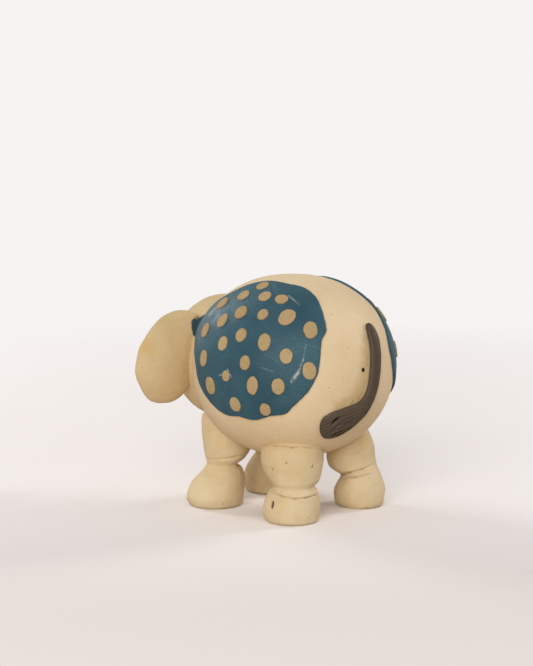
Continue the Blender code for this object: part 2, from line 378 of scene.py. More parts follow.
def view_direction(azimuth_degrees: float, elevation_degrees: float) -> Vector:
    """Return a direction by azimuth, with 0 in front of the face, and elevation.

    Args:
        azimuth_degrees: Turn from the front of the face.
        elevation_degrees: Rise over the ground.

    Returns:
        The direction, one unit long.
    """
    azimuth, elevation = math.radians(azimuth_degrees), math.radians(elevation_degrees)
    flat = math.cos(elevation)
    return Vector((math.sin(azimuth) * flat, -math.cos(azimuth) * flat, math.sin(elevation)))


class Graph:
    """Short calls that make and join shader nodes."""

    def __init__(self, tree: bpy.types.NodeTree) -> None:
        """Keep the node tree."""
        self.tree = tree

    def add(self, kind: str, **settings: object) -> bpy.types.Node:
        """Add a node with settings.

        Args:
            kind: The node's type name without the ShaderNode prefix.
            **settings: Properties to set on the node.

        Returns:
            The node.
        """
        node = self.tree.nodes.new("ShaderNode" + kind)
        for name, value in settings.items():
            setattr(node, name, value)
        return node

    def put(self, socket: Socket, value: object) -> None:
        """Join a socket to an output, or set its value.

        Args:
            socket: The input socket.
            value: The output to join, or a plain value.
        """
        if isinstance(value, Socket):
            self.tree.links.new(value, socket)
        else:
            socket.default_value = value

    def noise(self, vector: object, scale: object, detail: float = 3.0, rough: float = 0.5) -> Socket:
        """Add a noise.

        Args:
            vector: The place to read it at.
            scale: Its fineness.
            detail: How many finer layers it has.
            rough: How strong the finer layers are.

        Returns:
            The noise from 0 to 1.
        """
        node = self.add("TexNoise")
        self.put(node.inputs["Vector"], vector)
        self.put(node.inputs["Scale"], scale)
        node.inputs["Detail"].default_value = detail
        node.inputs["Roughness"].default_value = rough
        return node.outputs["Fac"]

    def cells(self, vector: object, scale: object) -> tuple[Socket, Socket]:
        """Add scattered cells.

        Args:
            vector: The place to read them at.
            scale: Their fineness.

        Returns:
            The distance to the nearest cell's middle, and that cell's own colour.
        """
        node = self.add("TexVoronoi")
        self.put(node.inputs["Vector"], vector)
        self.put(node.inputs["Scale"], scale)
        return node.outputs["Distance"], node.outputs["Color"]

    def math(
        self, operation: str, first: object, second: object = 0.0, clamp: bool = False,
    ) -> Socket:
        """Add a sum on one or two values.

        Args:
            operation: The kind of sum.
            first: The first value.
            second: The second value.
            clamp: Whether the result is kept between 0 and 1.

        Returns:
            The result.
        """
        node = self.add("Math", operation=operation, use_clamp=clamp)
        self.put(node.inputs[0], first)
        self.put(node.inputs[1], second)
        return node.outputs[0]

    def between(
        self, value: object, low: object, high: object, start: float = 0.0, end: float = 1.0,
    ) -> Socket:
        """Add a smooth rise or fall.

        Args:
            value: The value that is read.
            low: Where the rise begins.
            high: Where the rise ends.
            start: The result below low.
            end: The result above high.

        Returns:
            The result.
        """
        node = self.add("MapRange", interpolation_type="SMOOTHSTEP")
        names = ("Value", "From Min", "From Max", "To Min", "To Max")
        for name, number in zip(names, (value, low, high, start, end)):
            self.put(node.inputs[name], number)
        return node.outputs["Result"]

    def mix(self, share: object, first: object, second: object) -> Socket:
        """Add a mix of two colours.

        Args:
            share: How much of the second there is.
            first: The first colour.
            second: The second colour.

        Returns:
            The mixed colour.
        """
        node = self.add("Mix", data_type="RGBA")
        self.put(node.inputs[0], share)
        self.put(node.inputs[6], (*first, 1.0) if isinstance(first, tuple) else first)
        self.put(node.inputs[7], (*second, 1.0) if isinstance(second, tuple) else second)
        return node.outputs[2]

    def group(self, tree: bpy.types.NodeTree, **values: object) -> bpy.types.Node:
        """Place a node group.

        Args:
            tree: The group.
            **values: Its inputs by name; an underscore stands for a space.

        Returns:
            The group's node.
        """
        node = self.add("Group")
        node.node_tree = tree
        for name, value in values.items():
            self.put(node.inputs[name.replace("_", " ")], value)
        return node


def new_group(
    name: str, inputs: dict[str, float], outputs: Sequence[str],
) -> tuple[bpy.types.NodeTree, Graph, dict, dict]:
    """Start a shader node group.

    Args:
        name: The group's name.
        inputs: Input names with their usual values; Place is added as a vector.
        outputs: Names of the value outputs.

    Returns:
        The tree, its graph, its input sockets and its output sockets by name.
    """
    tree = bpy.data.node_groups.new(name, "ShaderNodeTree")
    tree.interface.new_socket("Place", in_out="INPUT", socket_type="NodeSocketVector")
    for key, value in inputs.items():
        socket = tree.interface.new_socket(key, in_out="INPUT", socket_type="NodeSocketFloat")
        socket.default_value = value
    for key in outputs:
        tree.interface.new_socket(key, in_out="OUTPUT", socket_type="NodeSocketFloat")
    graph = Graph(tree)
    start, end = tree.nodes.new("NodeGroupInput"), tree.nodes.new("NodeGroupOutput")
    return tree, graph, {s.name: s for s in start.outputs}, {s.name: s for s in end.inputs}


class Effects:
    """The shared surface effects, each a node group made once."""

    def __init__(self) -> None:
        """Make the groups."""
        self.grain = self.make_grain()
        self.specks = self.make_specks()
        self.patina = self.make_patina()
        self.wipes = self.make_wipes()

    @staticmethod
    def make_grain() -> bpy.types.NodeTree:
        """Make the fine tooth of fired clay with its tiny pits.

        Returns:
            The group, which gives a height, a mask of the pits and a sandy mask.
        """
        usual = {"Scale": 2.0, "Pits": 0.5}
        tree, g, source, out = new_group("clay grain", usual, ("Height", "Pit Mask", "Sand"))
        fine = g.noise(source["Place"], source["Scale"], 5.0, 0.62)
        broad = g.noise(source["Place"], g.math("MULTIPLY", source["Scale"], 0.22), 3.0)
        distance, tint = g.cells(source["Place"], g.math("MULTIPLY", source["Scale"], 0.55))
        chosen = g.math("GREATER_THAN", tint, 0.62)
        pit = g.math("MULTIPLY", g.between(distance, 0.05, 0.26, 1.0, 0.0), chosen)
        pit = g.math("MULTIPLY", pit, source["Pits"])
        height = g.math("ADD", g.math("MULTIPLY", fine, 0.55), g.math("MULTIPLY", broad, 0.45))
        g.put(out["Height"], g.math("SUBTRACT", height, g.math("MULTIPLY", pit, 0.8)))
        g.put(out["Pit Mask"], pit)
        g.put(out["Sand"], g.between(fine, 0.38, 0.64, 1.0, 0.0))
        return tree

    @staticmethod
    def make_specks() -> bpy.types.NodeTree:
        """Make small iron specks.

        Returns:
            The group, which gives their mask.
        """
        usual = {"Scale": 0.45, "Size": 0.14, "Count": 0.4}
        tree, g, source, out = new_group("iron specks", usual, ("Mask",))
        distance, tint = g.cells(source["Place"], source["Scale"])
        wander = g.math("MULTIPLY", g.noise(source["Place"], 3.0, 2.0), 0.08)
        edge = g.math("ADD", distance, wander)
        spot = g.between(edge, source["Size"], g.math("ADD", source["Size"], 0.06), 1.0, 0.0)
        g.put(out["Mask"], g.math("MULTIPLY", spot, g.math("LESS_THAN", tint, source["Count"])))
        return tree

    @staticmethod
    def make_wipes() -> bpy.types.NodeTree:
        """Make the fine lines left by wiping, slanting down to the rear.

        Returns:
            The group, which gives their mask.
        """
        tree, g, source, out = new_group("wipe lines", {}, ("Mask",))
        turned = g.add("VectorRotate", rotation_type="EULER_XYZ")
        g.put(turned.inputs["Vector"], source["Place"])
        turned.inputs["Rotation"].default_value = (math.radians(28.0), 0.0, math.radians(25.0))
        drawn = g.add("VectorMath", operation="MULTIPLY")
        g.put(drawn.inputs[0], turned.outputs[0])
        drawn.inputs[1].default_value = (0.1, 0.1, 2.2)
        lines = g.between(g.noise(drawn.outputs[0], 1.0, 3.0, 0.6), 0.54, 0.7)
        places = g.between(g.noise(source["Place"], 0.09, 2.0), 0.42, 0.62)
        g.put(out["Mask"], g.math("MULTIPLY", lines, places))
        return tree

    @staticmethod
    def make_patina() -> bpy.types.NodeTree:
        """Make the broad cloudy colour change from firing and handling.

        Returns:
            The group, which gives broad clouds and a finer mottle.
        """
        tree, g, source, out = new_group("kiln patina", {"Size": 12.0, "Contrast": 1.0}, ("Cloud", "Mottle"))
        cloud = g.noise(source["Place"], g.math("DIVIDE", 1.0, source["Size"]), 3.0, 0.55)
        mottle = g.noise(source["Place"], g.math("DIVIDE", 7.0, source["Size"]), 4.0, 0.6)
        for key, value in (("Cloud", cloud), ("Mottle", mottle)):
            centred = g.math("MULTIPLY", g.math("SUBTRACT", value, 0.5), source["Contrast"])
            g.put(out[key], g.math("ADD", g.math("MULTIPLY", centred, 2.2), 0.5, clamp=True))
        return tree


@dataclass(frozen=True)
class Blot:
    """A soft-edged stain round a place, in millimetres."""

    centre: Vector
    radius: float
    colour: Colour
    strength: float = 0.6
    ragged: float = 0.6
    soft: float = 0.5

    def mask(self, g: Graph, place: Socket) -> Socket:
        """Add the stain's mask.

        Args:
            g: The material's graph.
            place: The place on the piece.

        Returns:
            The mask.
        """
        far = g.add("VectorMath", operation="DISTANCE")
        g.put(far.inputs[0], place)
        far.inputs[1].default_value = self.centre
        wander = g.math("SUBTRACT", g.noise(place, 1.6 / self.radius, 4.0, 0.6), 0.5)
        uneven = g.math("MULTIPLY", wander, self.radius * self.ragged * 2.0)
        edge = g.math("ADD", far.outputs["Value"], uneven)
        low, high = self.radius * (1.0 - self.soft), self.radius * (1.0 + self.soft * 0.4)
        return g.math("MULTIPLY", g.between(edge, low, high, 1.0, 0.0), self.strength)


@dataclass(frozen=True)
class Score:
    """A thin scratch between two places, in millimetres."""

    start: Vector
    end: Vector
    width: float
    colour: Colour
    strength: float = 0.7
    skips: float = 1.0

    def mask(self, g: Graph, place: Socket) -> Socket:
        """Add the scratch's mask, broken where the tool skipped.

        Args:
            g: The material's graph.
            place: The place on the piece.

        Returns:
            The mask.
        """
        way = self.end - self.start
        away = g.add("VectorMath", operation="SUBTRACT")
        g.put(away.inputs[0], place)
        away.inputs[1].default_value = self.start
        along = g.add("VectorMath", operation="DOT_PRODUCT")
        g.put(along.inputs[0], away.outputs[0])
        along.inputs[1].default_value = way / way.length_squared
        foot = g.add("VectorMath", operation="SCALE")
        foot.inputs[0].default_value = way
        g.put(foot.inputs["Scale"], g.math("MULTIPLY", along.outputs["Value"], 1.0, clamp=True))
        gap = g.add("VectorMath", operation="DISTANCE")
        g.put(gap.inputs[0], away.outputs[0])
        g.put(gap.inputs[1], foot.outputs[0])
        line = g.between(gap.outputs["Value"], self.width * 0.1, self.width, 1.0, 0.0)
        broken = g.between(g.noise(place, 0.9, 3.0, 0.6), 0.3, 0.62, 1.0 - self.skips, 1.0)
        return g.math("MULTIPLY", g.math("MULTIPLY", line, broken), self.strength)


Mark = Blot | Score


def marked(g: Graph, place: Socket, colour: object, marks: Sequence[Mark]) -> object:
    """Lay marks over a colour, one after another.

    Args:
        g: The material's graph.
        place: The place on the piece.
        colour: The colour under the marks.
        marks: The stains and scratches.

    Returns:
        The colour with its marks.
    """
    for mark in marks:
        colour = g.mix(mark.mask(g, place), colour, mark.colour)
    return colour


@dataclass(frozen=True)
class StonewareFinish:
    """Bare fired clay: two tones, sandy grain, iron specks and a dry tooth."""

    name: str
    light: Colour
    dark: Colour
    speck: Colour
    roughness: float = 0.82
    tooth: float = 0.35
    grain_scale: float = 2.2
    pits: float = 0.4
    speck_count: float = 0.35
    sand: float = 0.3
    specular: float = 0.35
    marks: tuple[Mark, ...] = ()

    def build(self, effects: Effects) -> Material:
        """Make the material.

        Args:
            effects: The shared node groups.

        Returns:
            The material.
        """
        material = bpy.data.materials.new(self.name)
        material.use_nodes = True
        g = Graph(material.node_tree)
        shader = material.node_tree.nodes["Principled BSDF"]
        place = millimetre_place(g)
        patina = g.group(effects.patina, Place=place, Size=16.0, Contrast=1.0)
        grain = g.group(effects.grain, Place=place, Scale=self.grain_scale, Pits=self.pits)
        specks = g.group(effects.specks, Place=place, Scale=0.42, Size=0.1, Count=self.speck_count)
        flecks = g.group(effects.specks, Place=place, Scale=1.5, Size=0.16, Count=0.5)
        tone = g.mix(patina.outputs["Cloud"], self.dark, self.light)
        mottled = g.mix(g.math("MULTIPLY", patina.outputs["Mottle"], 0.35), tone, self.light)
        sandy = g.mix(g.math("MULTIPLY", grain.outputs["Sand"], self.sand), mottled, self.speck)
        flecked = g.mix(g.math("MULTIPLY", flecks.outputs["Mask"], self.sand * 0.8), sandy, self.speck)
        pitted = g.mix(g.math("MULTIPLY", grain.outputs["Pit Mask"], 0.6), flecked, self.speck)
        colour = g.mix(g.math("MULTIPLY", specks.outputs["Mask"], 0.65), pitted, self.speck)
        g.put(shader.inputs["Base Color"], marked(g, place, colour, self.marks))
        rough = g.between(patina.outputs["Mottle"], 0.0, 1.0, self.roughness - 0.08, self.roughness + 0.06)
        g.put(shader.inputs["Roughness"], rough)
        shader.inputs["Specular IOR Level"].default_value = self.specular
        g.put(shader.inputs["Normal"], bump(g, grain.outputs["Height"], self.tooth, 0.0003))
        return material


@dataclass(frozen=True)
class SlipFinish:
    """Coloured clay rubbed smooth, with paler rubbed places and fine wipe lines."""

    name: str
    deep: Colour
    rubbed: Colour
    scratch: Colour
    roughness: float = 0.48
    tooth: float = 0.16
    wipe: float = 0.2
    specular: float = 0.2
    marks: tuple[Mark, ...] = ()

    def build(self, effects: Effects) -> Material:
        """Make the material.

        Args:
            effects: The shared node groups.

        Returns:
            The material.
        """
        material = bpy.data.materials.new(self.name)
        material.use_nodes = True
        g = Graph(material.node_tree)
        shader = material.node_tree.nodes["Principled BSDF"]
        place = millimetre_place(g)
        patina = g.group(effects.patina, Place=place, Size=22.0, Contrast=1.1)
        grain = g.group(effects.grain, Place=place, Scale=2.4, Pits=0.35)
        specks = g.group(effects.specks, Place=place, Scale=0.5, Size=0.08, Count=0.5)
        wipes = g.group(effects.wipes, Place=place)
        tone = g.mix(patina.outputs["Cloud"], self.deep, self.rubbed)
        mottled = g.mix(g.math("MULTIPLY", grain.outputs["Sand"], 0.5), tone, self.deep)
        wiped = g.mix(g.math("MULTIPLY", wipes.outputs["Mask"], self.wipe), mottled, self.scratch)
        scored = g.mix(g.math("MULTIPLY", specks.outputs["Mask"], 0.4), wiped, self.scratch)
        g.put(shader.inputs["Base Color"], marked(g, place, scored, self.marks))
        dull = g.between(patina.outputs["Mottle"], 0.0, 1.0, self.roughness - 0.07, self.roughness + 0.1)
        g.put(shader.inputs["Roughness"], dull)
        shader.inputs["Specular IOR Level"].default_value = self.specular
        height = g.math("SUBTRACT", grain.outputs["Height"], g.math("MULTIPLY", wipes.outputs["Mask"], 0.5))
        g.put(shader.inputs["Normal"], bump(g, height, self.tooth, 0.00025))
        return material


def millimetre_place(g: Graph) -> Socket:
    """Add the place on the piece.

    Args:
        g: The material's graph.

    Returns:
        The place in millimetres.
    """
    coordinates = g.add("TexCoord")
    scaled = g.add("VectorMath", operation="SCALE")
    g.put(scaled.inputs[0], coordinates.outputs["Object"])
    scaled.inputs["Scale"].default_value = 1.0 / MM
    return scaled.outputs[0]


def bump(g: Graph, height: object, strength: float, distance: float) -> Socket:
    """Add a small relief.

    Args:
        g: The material's graph.
        height: The relief's height.
        strength: How much of it shows.
        distance: Its depth in metres.

    Returns:
        The normal.
    """
    node = g.add("Bump")
    node.inputs["Strength"].default_value = strength
    node.inputs["Distance"].default_value = distance
    g.put(node.inputs["Height"], height)
    return node.outputs["Normal"]


@dataclass
class Finishes:
    """Every material of the figurine."""

    effects: Effects
    dome: Dome
    legs: Sequence["Leg"]
    tail: "Tail"
    barrel: Material = field(init=False)
    limb: Material = field(init=False)
    ear: Material = field(init=False)
    slip: Material = field(init=False)
    spot: Material = field(init=False)
    dark: Material = field(init=False)
    eye: Material = field(init=False)

    def on(self, side: float, latitude: float, height: float = 0.0) -> Vector:
        """Return a place on the barrel by degrees from the rump's middle to the left, and latitude."""
        return self.dome.point(rump_direction(side, latitude), height)

    def barrel_marks(self) -> tuple[Mark, ...]:
        """Place the smear along the tail, the painted shade in the vent's mouth and small stains.

        Returns:
            The marks on the barrel.
        """
        olive, brown, deep = srgb(190, 162, 104), srgb(150, 116, 72), srgb(66, 50, 36)
        straw = srgb(238, 216, 150)
        smear = (
            (1.8, 19.0, 2.6), (3.8, 12.0, 3.2), (5.0, 5.0, 3.4), (6.4, -3.0, 3.8), (9.2, -9.6, 4.2),
            (14.0, -13.4, 4.2), (21.0, -16.6, 3.2),
        )
        marks: list[Mark] = []
        for side, latitude, radius in smear:
            marks.append(Blot(self.on(side, latitude), radius, olive, 0.5, 0.5, 0.8))
        ticks = (
            (17.3, -15.6, 15.4, -13.2, straw), (14.6, -15.2, 13.2, -12.9, brown),
            (12.4, -15.0, 11.0, -12.6, straw), (10.6, -14.2, 9.2, -12.2, brown),
        )
        for side, low, far, high, colour in ticks:
            marks.append(Score(self.on(side, low), self.on(far, high), 0.36, colour, 0.9, 0.2))
        marks += [
            Score(self.on(3.2, 10.0), self.on(7.0, -7.0), 0.35, brown, 0.5),
            Score(self.on(7.0, -9.0), self.on(13.0, -14.0), 0.3, brown, 0.6),
            # Painted shade: a dark blot fills the vent's mouth, where the hole lies in shade.
            Blot(self.on(7.1, 3.1, -1.0), 1.03, deep, 1.0, 0.03, 0.05),
        ]
        return tuple(marks)

    def limb_marks(self) -> tuple[Mark, ...]:
        """Return the painted fold and joint shade, the splits, pits and stains of every leg."""
        return tuple(mark for leg in self.legs for mark in leg.marks(self.dome.centre.y))

    def slip_marks(self) -> tuple[Mark, ...]:
        """Place the pale scratches on the left slab.

        Returns:
            The marks on the slabs.
        """
        pale = srgb(176, 184, 178)
        lift = 0.7
        pairs = (
            ((41.8, 18.1), (43.5, 10.2), 0.3, 0.45), ((43.5, 10.2), (46.0, 3.9), 0.5, 0.6),
            ((46.0, 3.9), (49.4, -1.0), 0.9, 0.9), ((52.8, 49.7), (44.2, 42.5), 0.6, 0.5),
            ((122.8, 31.7), (120.8, 36.2), 0.9, 0.9), ((94.0, -0.4), (87.5, 1.8), 0.45, 0.7),
            ((88.0, 3.4), (85.0, -0.5), 0.5, 0.8), ((66.0, 6.0), (59.5, 4.0), 0.35, 0.25),
            ((82.0, 36.0), (48.0, 22.0), 0.3, 0.3), ((100.0, 22.0), (70.0, 36.0), 0.3, 0.25),
            ((98.0, 12.0), (62.0, -8.0), 0.25, 0.22),
        )
        return tuple(
            Score(self.on(*start, lift), self.on(*end, lift), width, pale, strength)
            for start, end, width, strength in pairs
        )

    def ear_marks(self) -> tuple[Mark, ...]:
        """Place the yellow stains and the smear of blue on the left ear.

        Returns:
            The marks on the head.
        """
        head = self.dome.centre + Vector((0.0, -30.0, 0.7))
        yellow, blue = srgb(206, 168, 98), srgb(44, 70, 83)
        return (
            Blot(head + Vector((34.6, -5.6, 5.8)), 4.0, yellow, 0.5),
            Blot(head + Vector((28.5, -3.0, -9.4)), 3.0, yellow, 0.2),
            Blot(head + Vector((15.6, 1.9, 14.8)), 2.5, blue, 1.0, 0.35, 0.2),
            Blot(head + Vector((17.1, 1.4, 13.0)), 2.2, blue, 1.0, 0.3, 0.2),
            Blot(head + Vector((17.4, 1.3, 11.2)), 1.8, blue, 1.0, 0.3, 0.2),
            Blot(head + Vector((17.4, 1.3, 9.6)), 1.5, blue, 1.0, 0.3, 0.2),
        )

    def __post_init__(self) -> None:
        """Make the materials."""
        brown = srgb(140, 106, 70)
        self.barrel = StonewareFinish(
            "smoothed tan clay", srgb(236, 213, 174), srgb(226, 200, 158), brown,
            roughness=0.74, tooth=0.35, grain_scale=4.0, pits=0.4, speck_count=0.35, sand=0.11,
            marks=self.barrel_marks(),
        ).build(self.effects)
        self.limb = StonewareFinish(
            "dry tan clay", srgb(230, 210, 171), srgb(212, 184, 137), brown,
            roughness=0.86, tooth=0.6, grain_scale=3.2, pits=0.6, speck_count=0.4, sand=0.1,
            marks=self.limb_marks(),
        ).build(self.effects)
        self.ear = StonewareFinish(
            "pinched tan clay", srgb(220, 196, 152), srgb(200, 173, 126), brown,
            roughness=0.82, tooth=0.5, grain_scale=3.4, pits=0.5, speck_count=0.35, sand=0.1,
            marks=self.ear_marks(),
        ).build(self.effects)
        self.slip = SlipFinish(
            "blue slab", srgb(46, 79, 91), srgb(70, 106, 118), srgb(116, 138, 140), tooth=0.3, wipe=0.2,
            marks=self.slip_marks(),
        ).build(self.effects)
        self.spot = StonewareFinish(
            "pellet clay", srgb(204, 178, 132), srgb(184, 155, 106), srgb(112, 80, 48),
            roughness=0.88, tooth=0.9, grain_scale=4.4, pits=1.0, speck_count=0.6, sand=0.42,
        ).build(self.effects)
        self.dark = SlipFinish(
            "dark clay", srgb(72, 60, 50), srgb(98, 83, 68), srgb(124, 108, 86),
            roughness=0.5, tooth=0.35, wipe=0.15, marks=self.tail.marks(),
        ).build(self.effects)
        self.eye = SlipFinish(
            "eye clay", srgb(52, 44, 40), srgb(70, 60, 54), srgb(96, 84, 74), roughness=0.42,
        ).build(self.effects)


def dress(piece: bpy.types.Object, material: Material, nodes: Sequence[str]) -> None:
    """Give a piece its finish and its place in the frame.

    Args:
        piece: The object.
        material: Its finish.
        nodes: The solids that the piece stands for.
    """
    piece.data.materials.clear()
    piece.data.materials.append(material)
    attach(piece, "root")
    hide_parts(*nodes)
    log.info("%s: %d faces", piece.name, len(piece.data.polygons))


@dataclass
class Barrel:
    """The round body, hand-smoothed, with its vent beside the tail."""

    half_width: float = 33.0
    half_length: float = 34.5
    half_height: float = 31.2
    fullness: float = 2.1
    unevenness: float = 0.22
    vent_side: float = 7.1
    vent_latitude: float = 3.1
    vent_radius: float = 0.3
    vent_depth: float = 1.6
    vent_rim: float = 2.6

    def __post_init__(self) -> None:
        """Take the place from the solid body's box."""
        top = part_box("body")[1]
        centre = Vector((0.0, top[1] / MM - self.half_length, top[2] / MM - self.half_height))
        self.dome = Dome(centre, (self.half_width, self.half_length, self.half_height), self.fullness)

    def build(self, finishes: Finishes) -> None:
        """Make the barrel.

        Args:
            finishes: The materials.
        """
        bm = self.dome.ball(288, 176)
        vent = self.dome.point(rump_direction(self.vent_side, self.vent_latitude))
        near = [edge for edge in bm.edges if (edge.verts[0].co - vent).length < self.vent_rim]
        bmesh.ops.subdivide_edges(bm, edges=near, cuts=4, use_grid_fill=True)
        for vertex in bm.verts:
            away = vertex.co - self.dome.centre
            normal = self.dome.normal(away)
            rise = self.unevenness * (lump(vertex.co, 17.0) + 0.35 * lump(vertex.co, 6.0, 3.0)) - 0.12
            far = (vertex.co - vent).length
            rise -= self.vent_depth * (1.0 - soft_step(self.vent_radius * 0.7, self.vent_radius * 1.4, far))
            rise -= 0.1 * (1.0 - soft_step(0.5, self.vent_rim, far))
            vertex.co += normal * rise
        dress(finish_mesh("barrel", bm), finishes.barrel, ["body"])


@dataclass
class Head:
    """The head with its ears and curled trunk, pressed together from soft clay."""

    barrel: Barrel
    half_width: float = 19.0
    half_length: float = 22.0
    half_height: float = 22.0
    forward: float = 30.0
    rise: float = 0.7
    trunk_route: tuple[tuple[float, float, float], ...] = (
        (14.0, 0.0, 6.6), (20.0, -3.2, 6.0), (26.0, -8.0, 5.3), (31.5, -12.0, 4.7),
        (36.0, -12.6, 4.2), (38.8, -9.6, 3.8), (39.6, -5.2, 3.4), (38.8, -2.2, 3.0),
    )
    ear_root_width: float = 16.0
    ear_root_forward: float = 2.0
    ear_sweep: float = 21.3
    ear_thickness: float = 4.4
    ear_cup: float = 2.4
    ear_centre_out: float = 10.0
    ear_centre_rise: float = 1.2
    ear_reach: tuple[float, ...] = (
        10.9, 10.6, 10.7, 12.2, 15.0, 17.6, 18.6, 14.0, 11.0, 10.4, 12.6, 14.8, 15.9, 15.8, 13.6, 12.3,
    )
    eye_around: float = 56.0
    eye_latitude: float = 14.0
    eye_diameter: float = 3.0
    voxel: float = 0.45
    smoothing: int = 4

    def __post_init__(self) -> None:
        """Place the head against the barrel."""
        centre = self.barrel.dome.centre + Vector((0.0, -self.forward, self.rise))
        self.dome = Dome(centre, (self.half_width, self.half_length, self.half_height))

    def trunk(self) -> BMesh:
        """Return the trunk with shallow rings across it.

        Returns:
            The mesh being built.
        """
        rings: list[Ring] = []
        steps = 90
        last = len(self.trunk_route) - 1
        along = Vector((0.0, -1.0, 0.0))
        for i in range(steps + 1):
            place = last * i / steps
            forward, rise, radius = read_open(self.trunk_route, place)
            ahead = read_open(self.trunk_route, place + 0.05)
            behind = read_open(self.trunk_route, place - 0.05)
            along = Vector((0.0, behind[0] - ahead[0], ahead[1] - behind[1])).normalized()
            across = Vector((1.0, 0.0, 0.0))
            over = along.cross(across)
            middle = self.dome.centre + Vector((0.0, -forward, rise))
            ripple = 0.13 * math.sin(place * 9.0) * soft_step(0.5, 1.5, place)
            rings.append([
                middle + (across * math.cos(a) + over * math.sin(a)) * (radius + ripple)
                for a in (math.tau * k / 48 for k in range(48))
            ])
        tip = sum(rings[-1], Vector()) / 48 + along * radius * 0.35
        return lofted(rings, sum(rings[0], Vector()) / 48, tip)

    def ear(self, side: Side) -> BMesh:
        """Return one thick, cupped ear with a rounded rim.

        Args:
            side: The side of the head.

        Returns:
            The mesh being built.
        """
        sweep = math.radians(self.ear_sweep)
        outward = Vector((side.value * math.cos(sweep), -math.sin(sweep), 0.0))
        rearward = Vector((side.value * math.sin(sweep), math.cos(sweep), 0.0))
        centre = self.dome.centre
        root = Vector((side.value * self.ear_root_width, centre.y - self.ear_root_forward, centre.z))
        middle = root + outward * self.ear_centre_out + Vector((0.0, 0.0, self.ear_centre_rise))
        half = self.ear_thickness / 2

        def ring(share: float, depth: float) -> Ring:
            """One outline of the ear at a share of its reach.

            Args:
                share: The share of the reach.
                depth: How far back the outline lies.

            Returns:
                The outline.
            """
            points = []
            for k in range(96):
                bearing = 360.0 * k / 96
                reach = share * read_closed(self.ear_reach, bearing)
                angle = math.radians(bearing)
                cup = self.ear_cup * (1.0 - share * share)
                spot = middle + outward * reach * math.cos(angle) + Vector((0, 0, reach * math.sin(angle)))
                points.append(spot + rearward * (depth + cup))
            return points

        rings = []
        for i in range(1, 30):
            turn = math.pi * i / 30
            share = math.sin(turn) ** 0.55
            depth = half * math.copysign(abs(math.cos(turn)) ** 0.8, math.cos(turn))
            rings.append(ring(share, depth * (0.95 if depth > 0 else 0.85)))
        back = middle + rearward * (half + self.ear_cup)
        front = middle + rearward * (self.ear_cup - half * 0.85)
        return lofted(rings, back, front)

    def eye(self, side: Side, finishes: Finishes) -> None:
        """Make one plain bead eye.

        Args:
            side: The side of the head.
            finishes: The materials.
        """
        around, latitude = math.radians(self.eye_around), math.radians(self.eye_latitude)
        direction = Vector((
            side.value * math.sin(around) * math.cos(latitude),
            -math.cos(around) * math.cos(latitude),
            math.sin(latitude),
        ))
        anchor, normal = self.dome.point(direction), self.dome.normal(direction)
        turn = Vector((0, 0, 1)).rotation_difference(normal).to_matrix()
        radius = self.eye_diameter / 2
        shape = turn @ Matrix.Diagonal((radius, radius, 1.1))
        bm = globe(40, 24, lambda way: anchor + shape @ way)
        dress(finish_mesh(f"eye_bead_{side.word}", bm), finishes.eye, [f"eye_{side.word}"])

    def build(self, finishes: Finishes) -> None:
        """Make the head with its ears and trunk, then the eyes.

        Args:
            finishes: The materials.
        """
        parts = [self.dome.ball(96, 60), self.trunk(), self.ear(Side.LEFT), self.ear(Side.RIGHT)]
        head = fused("head", parts, self.voxel, self.smoothing)
        push(head, lambda point, normal: 0.16 * lump(point, 7.0, 5.0) + 0.1 * lump(point, 2.6, 8.0))
        dress(head, finishes.ear, ["body"])
        for side in Side:
            self.eye(side, finishes)


@dataclass(frozen=True)
class Fold:
    """A crease that runs round part of a leg; its facing is in degrees from the leg's back."""

    height: float
    depth: float
    width: float
    facing: float
    spread: float
    tilt: float = 0.0


@dataclass(frozen=True)
class Pock:
    """A small oval pit in a leg; its facing is in degrees from the leg's back."""

    height: float
    facing: float
    tall: float
    wide: float
    depth: float


@dataclass(frozen=True)
class CrackAndFoldShade:
    """A dark line on a leg between two places, each by degrees from its back and height: mostly painted fold
    and joint shade, some real splits.
    """

    start: float
    start_height: float
    end: float
    end_height: float
    width: float = 0.35
    strength: float = 0.7


LegRows = tuple[tuple[float, float, float], ...]

FRONT_LEG: LegRows = (
    (0.0, 8.4, 8.4), (0.8, 9.4, 9.2), (3.4, 10.1, 9.6), (7.7, 8.3, 10.2), (10.9, 5.4, 10.0),
    (13.0, 3.8, 9.0), (14.5, 3.1, 8.0), (16.6, 3.6, 10.2), (20.0, 4.0, 12.2), (26.5, 4.7, 12.6),
    (31.5, 4.4, 11.0), (34.0, 1.5, 7.0),
)
REAR_LEFT_LEG: LegRows = (
    (0.0, 8.0, 8.4), (0.8, 8.9, 9.0), (2.8, 9.4, 9.3), (5.5, 9.2, 9.5), (9.2, 7.6, 8.8),
    (11.4, 6.3, 8.0), (13.4, 7.7, 9.2), (16.5, 9.2, 10.1), (20.0, 10.1, 10.6), (23.6, 9.9, 10.2),
    (26.2, 7.6, 7.6), (27.8, 3.6, 3.6),
)
REAR_RIGHT_LEG: LegRows = (
    (0.0, 7.2, 7.2), (0.8, 8.1, 8.0), (2.5, 8.8, 8.4), (5.6, 8.8, 8.6), (8.0, 7.8, 7.9),
    (10.0, 6.8, 7.3), (11.2, 7.4, 6.9), (12.5, 9.4, 6.3), (14.0, 10.8, 5.7), (17.0, 11.4, 5.1),
    (21.0, 11.0, 4.7), (25.0, 9.8, 3.4), (28.0, 7.0, 1.5),
)


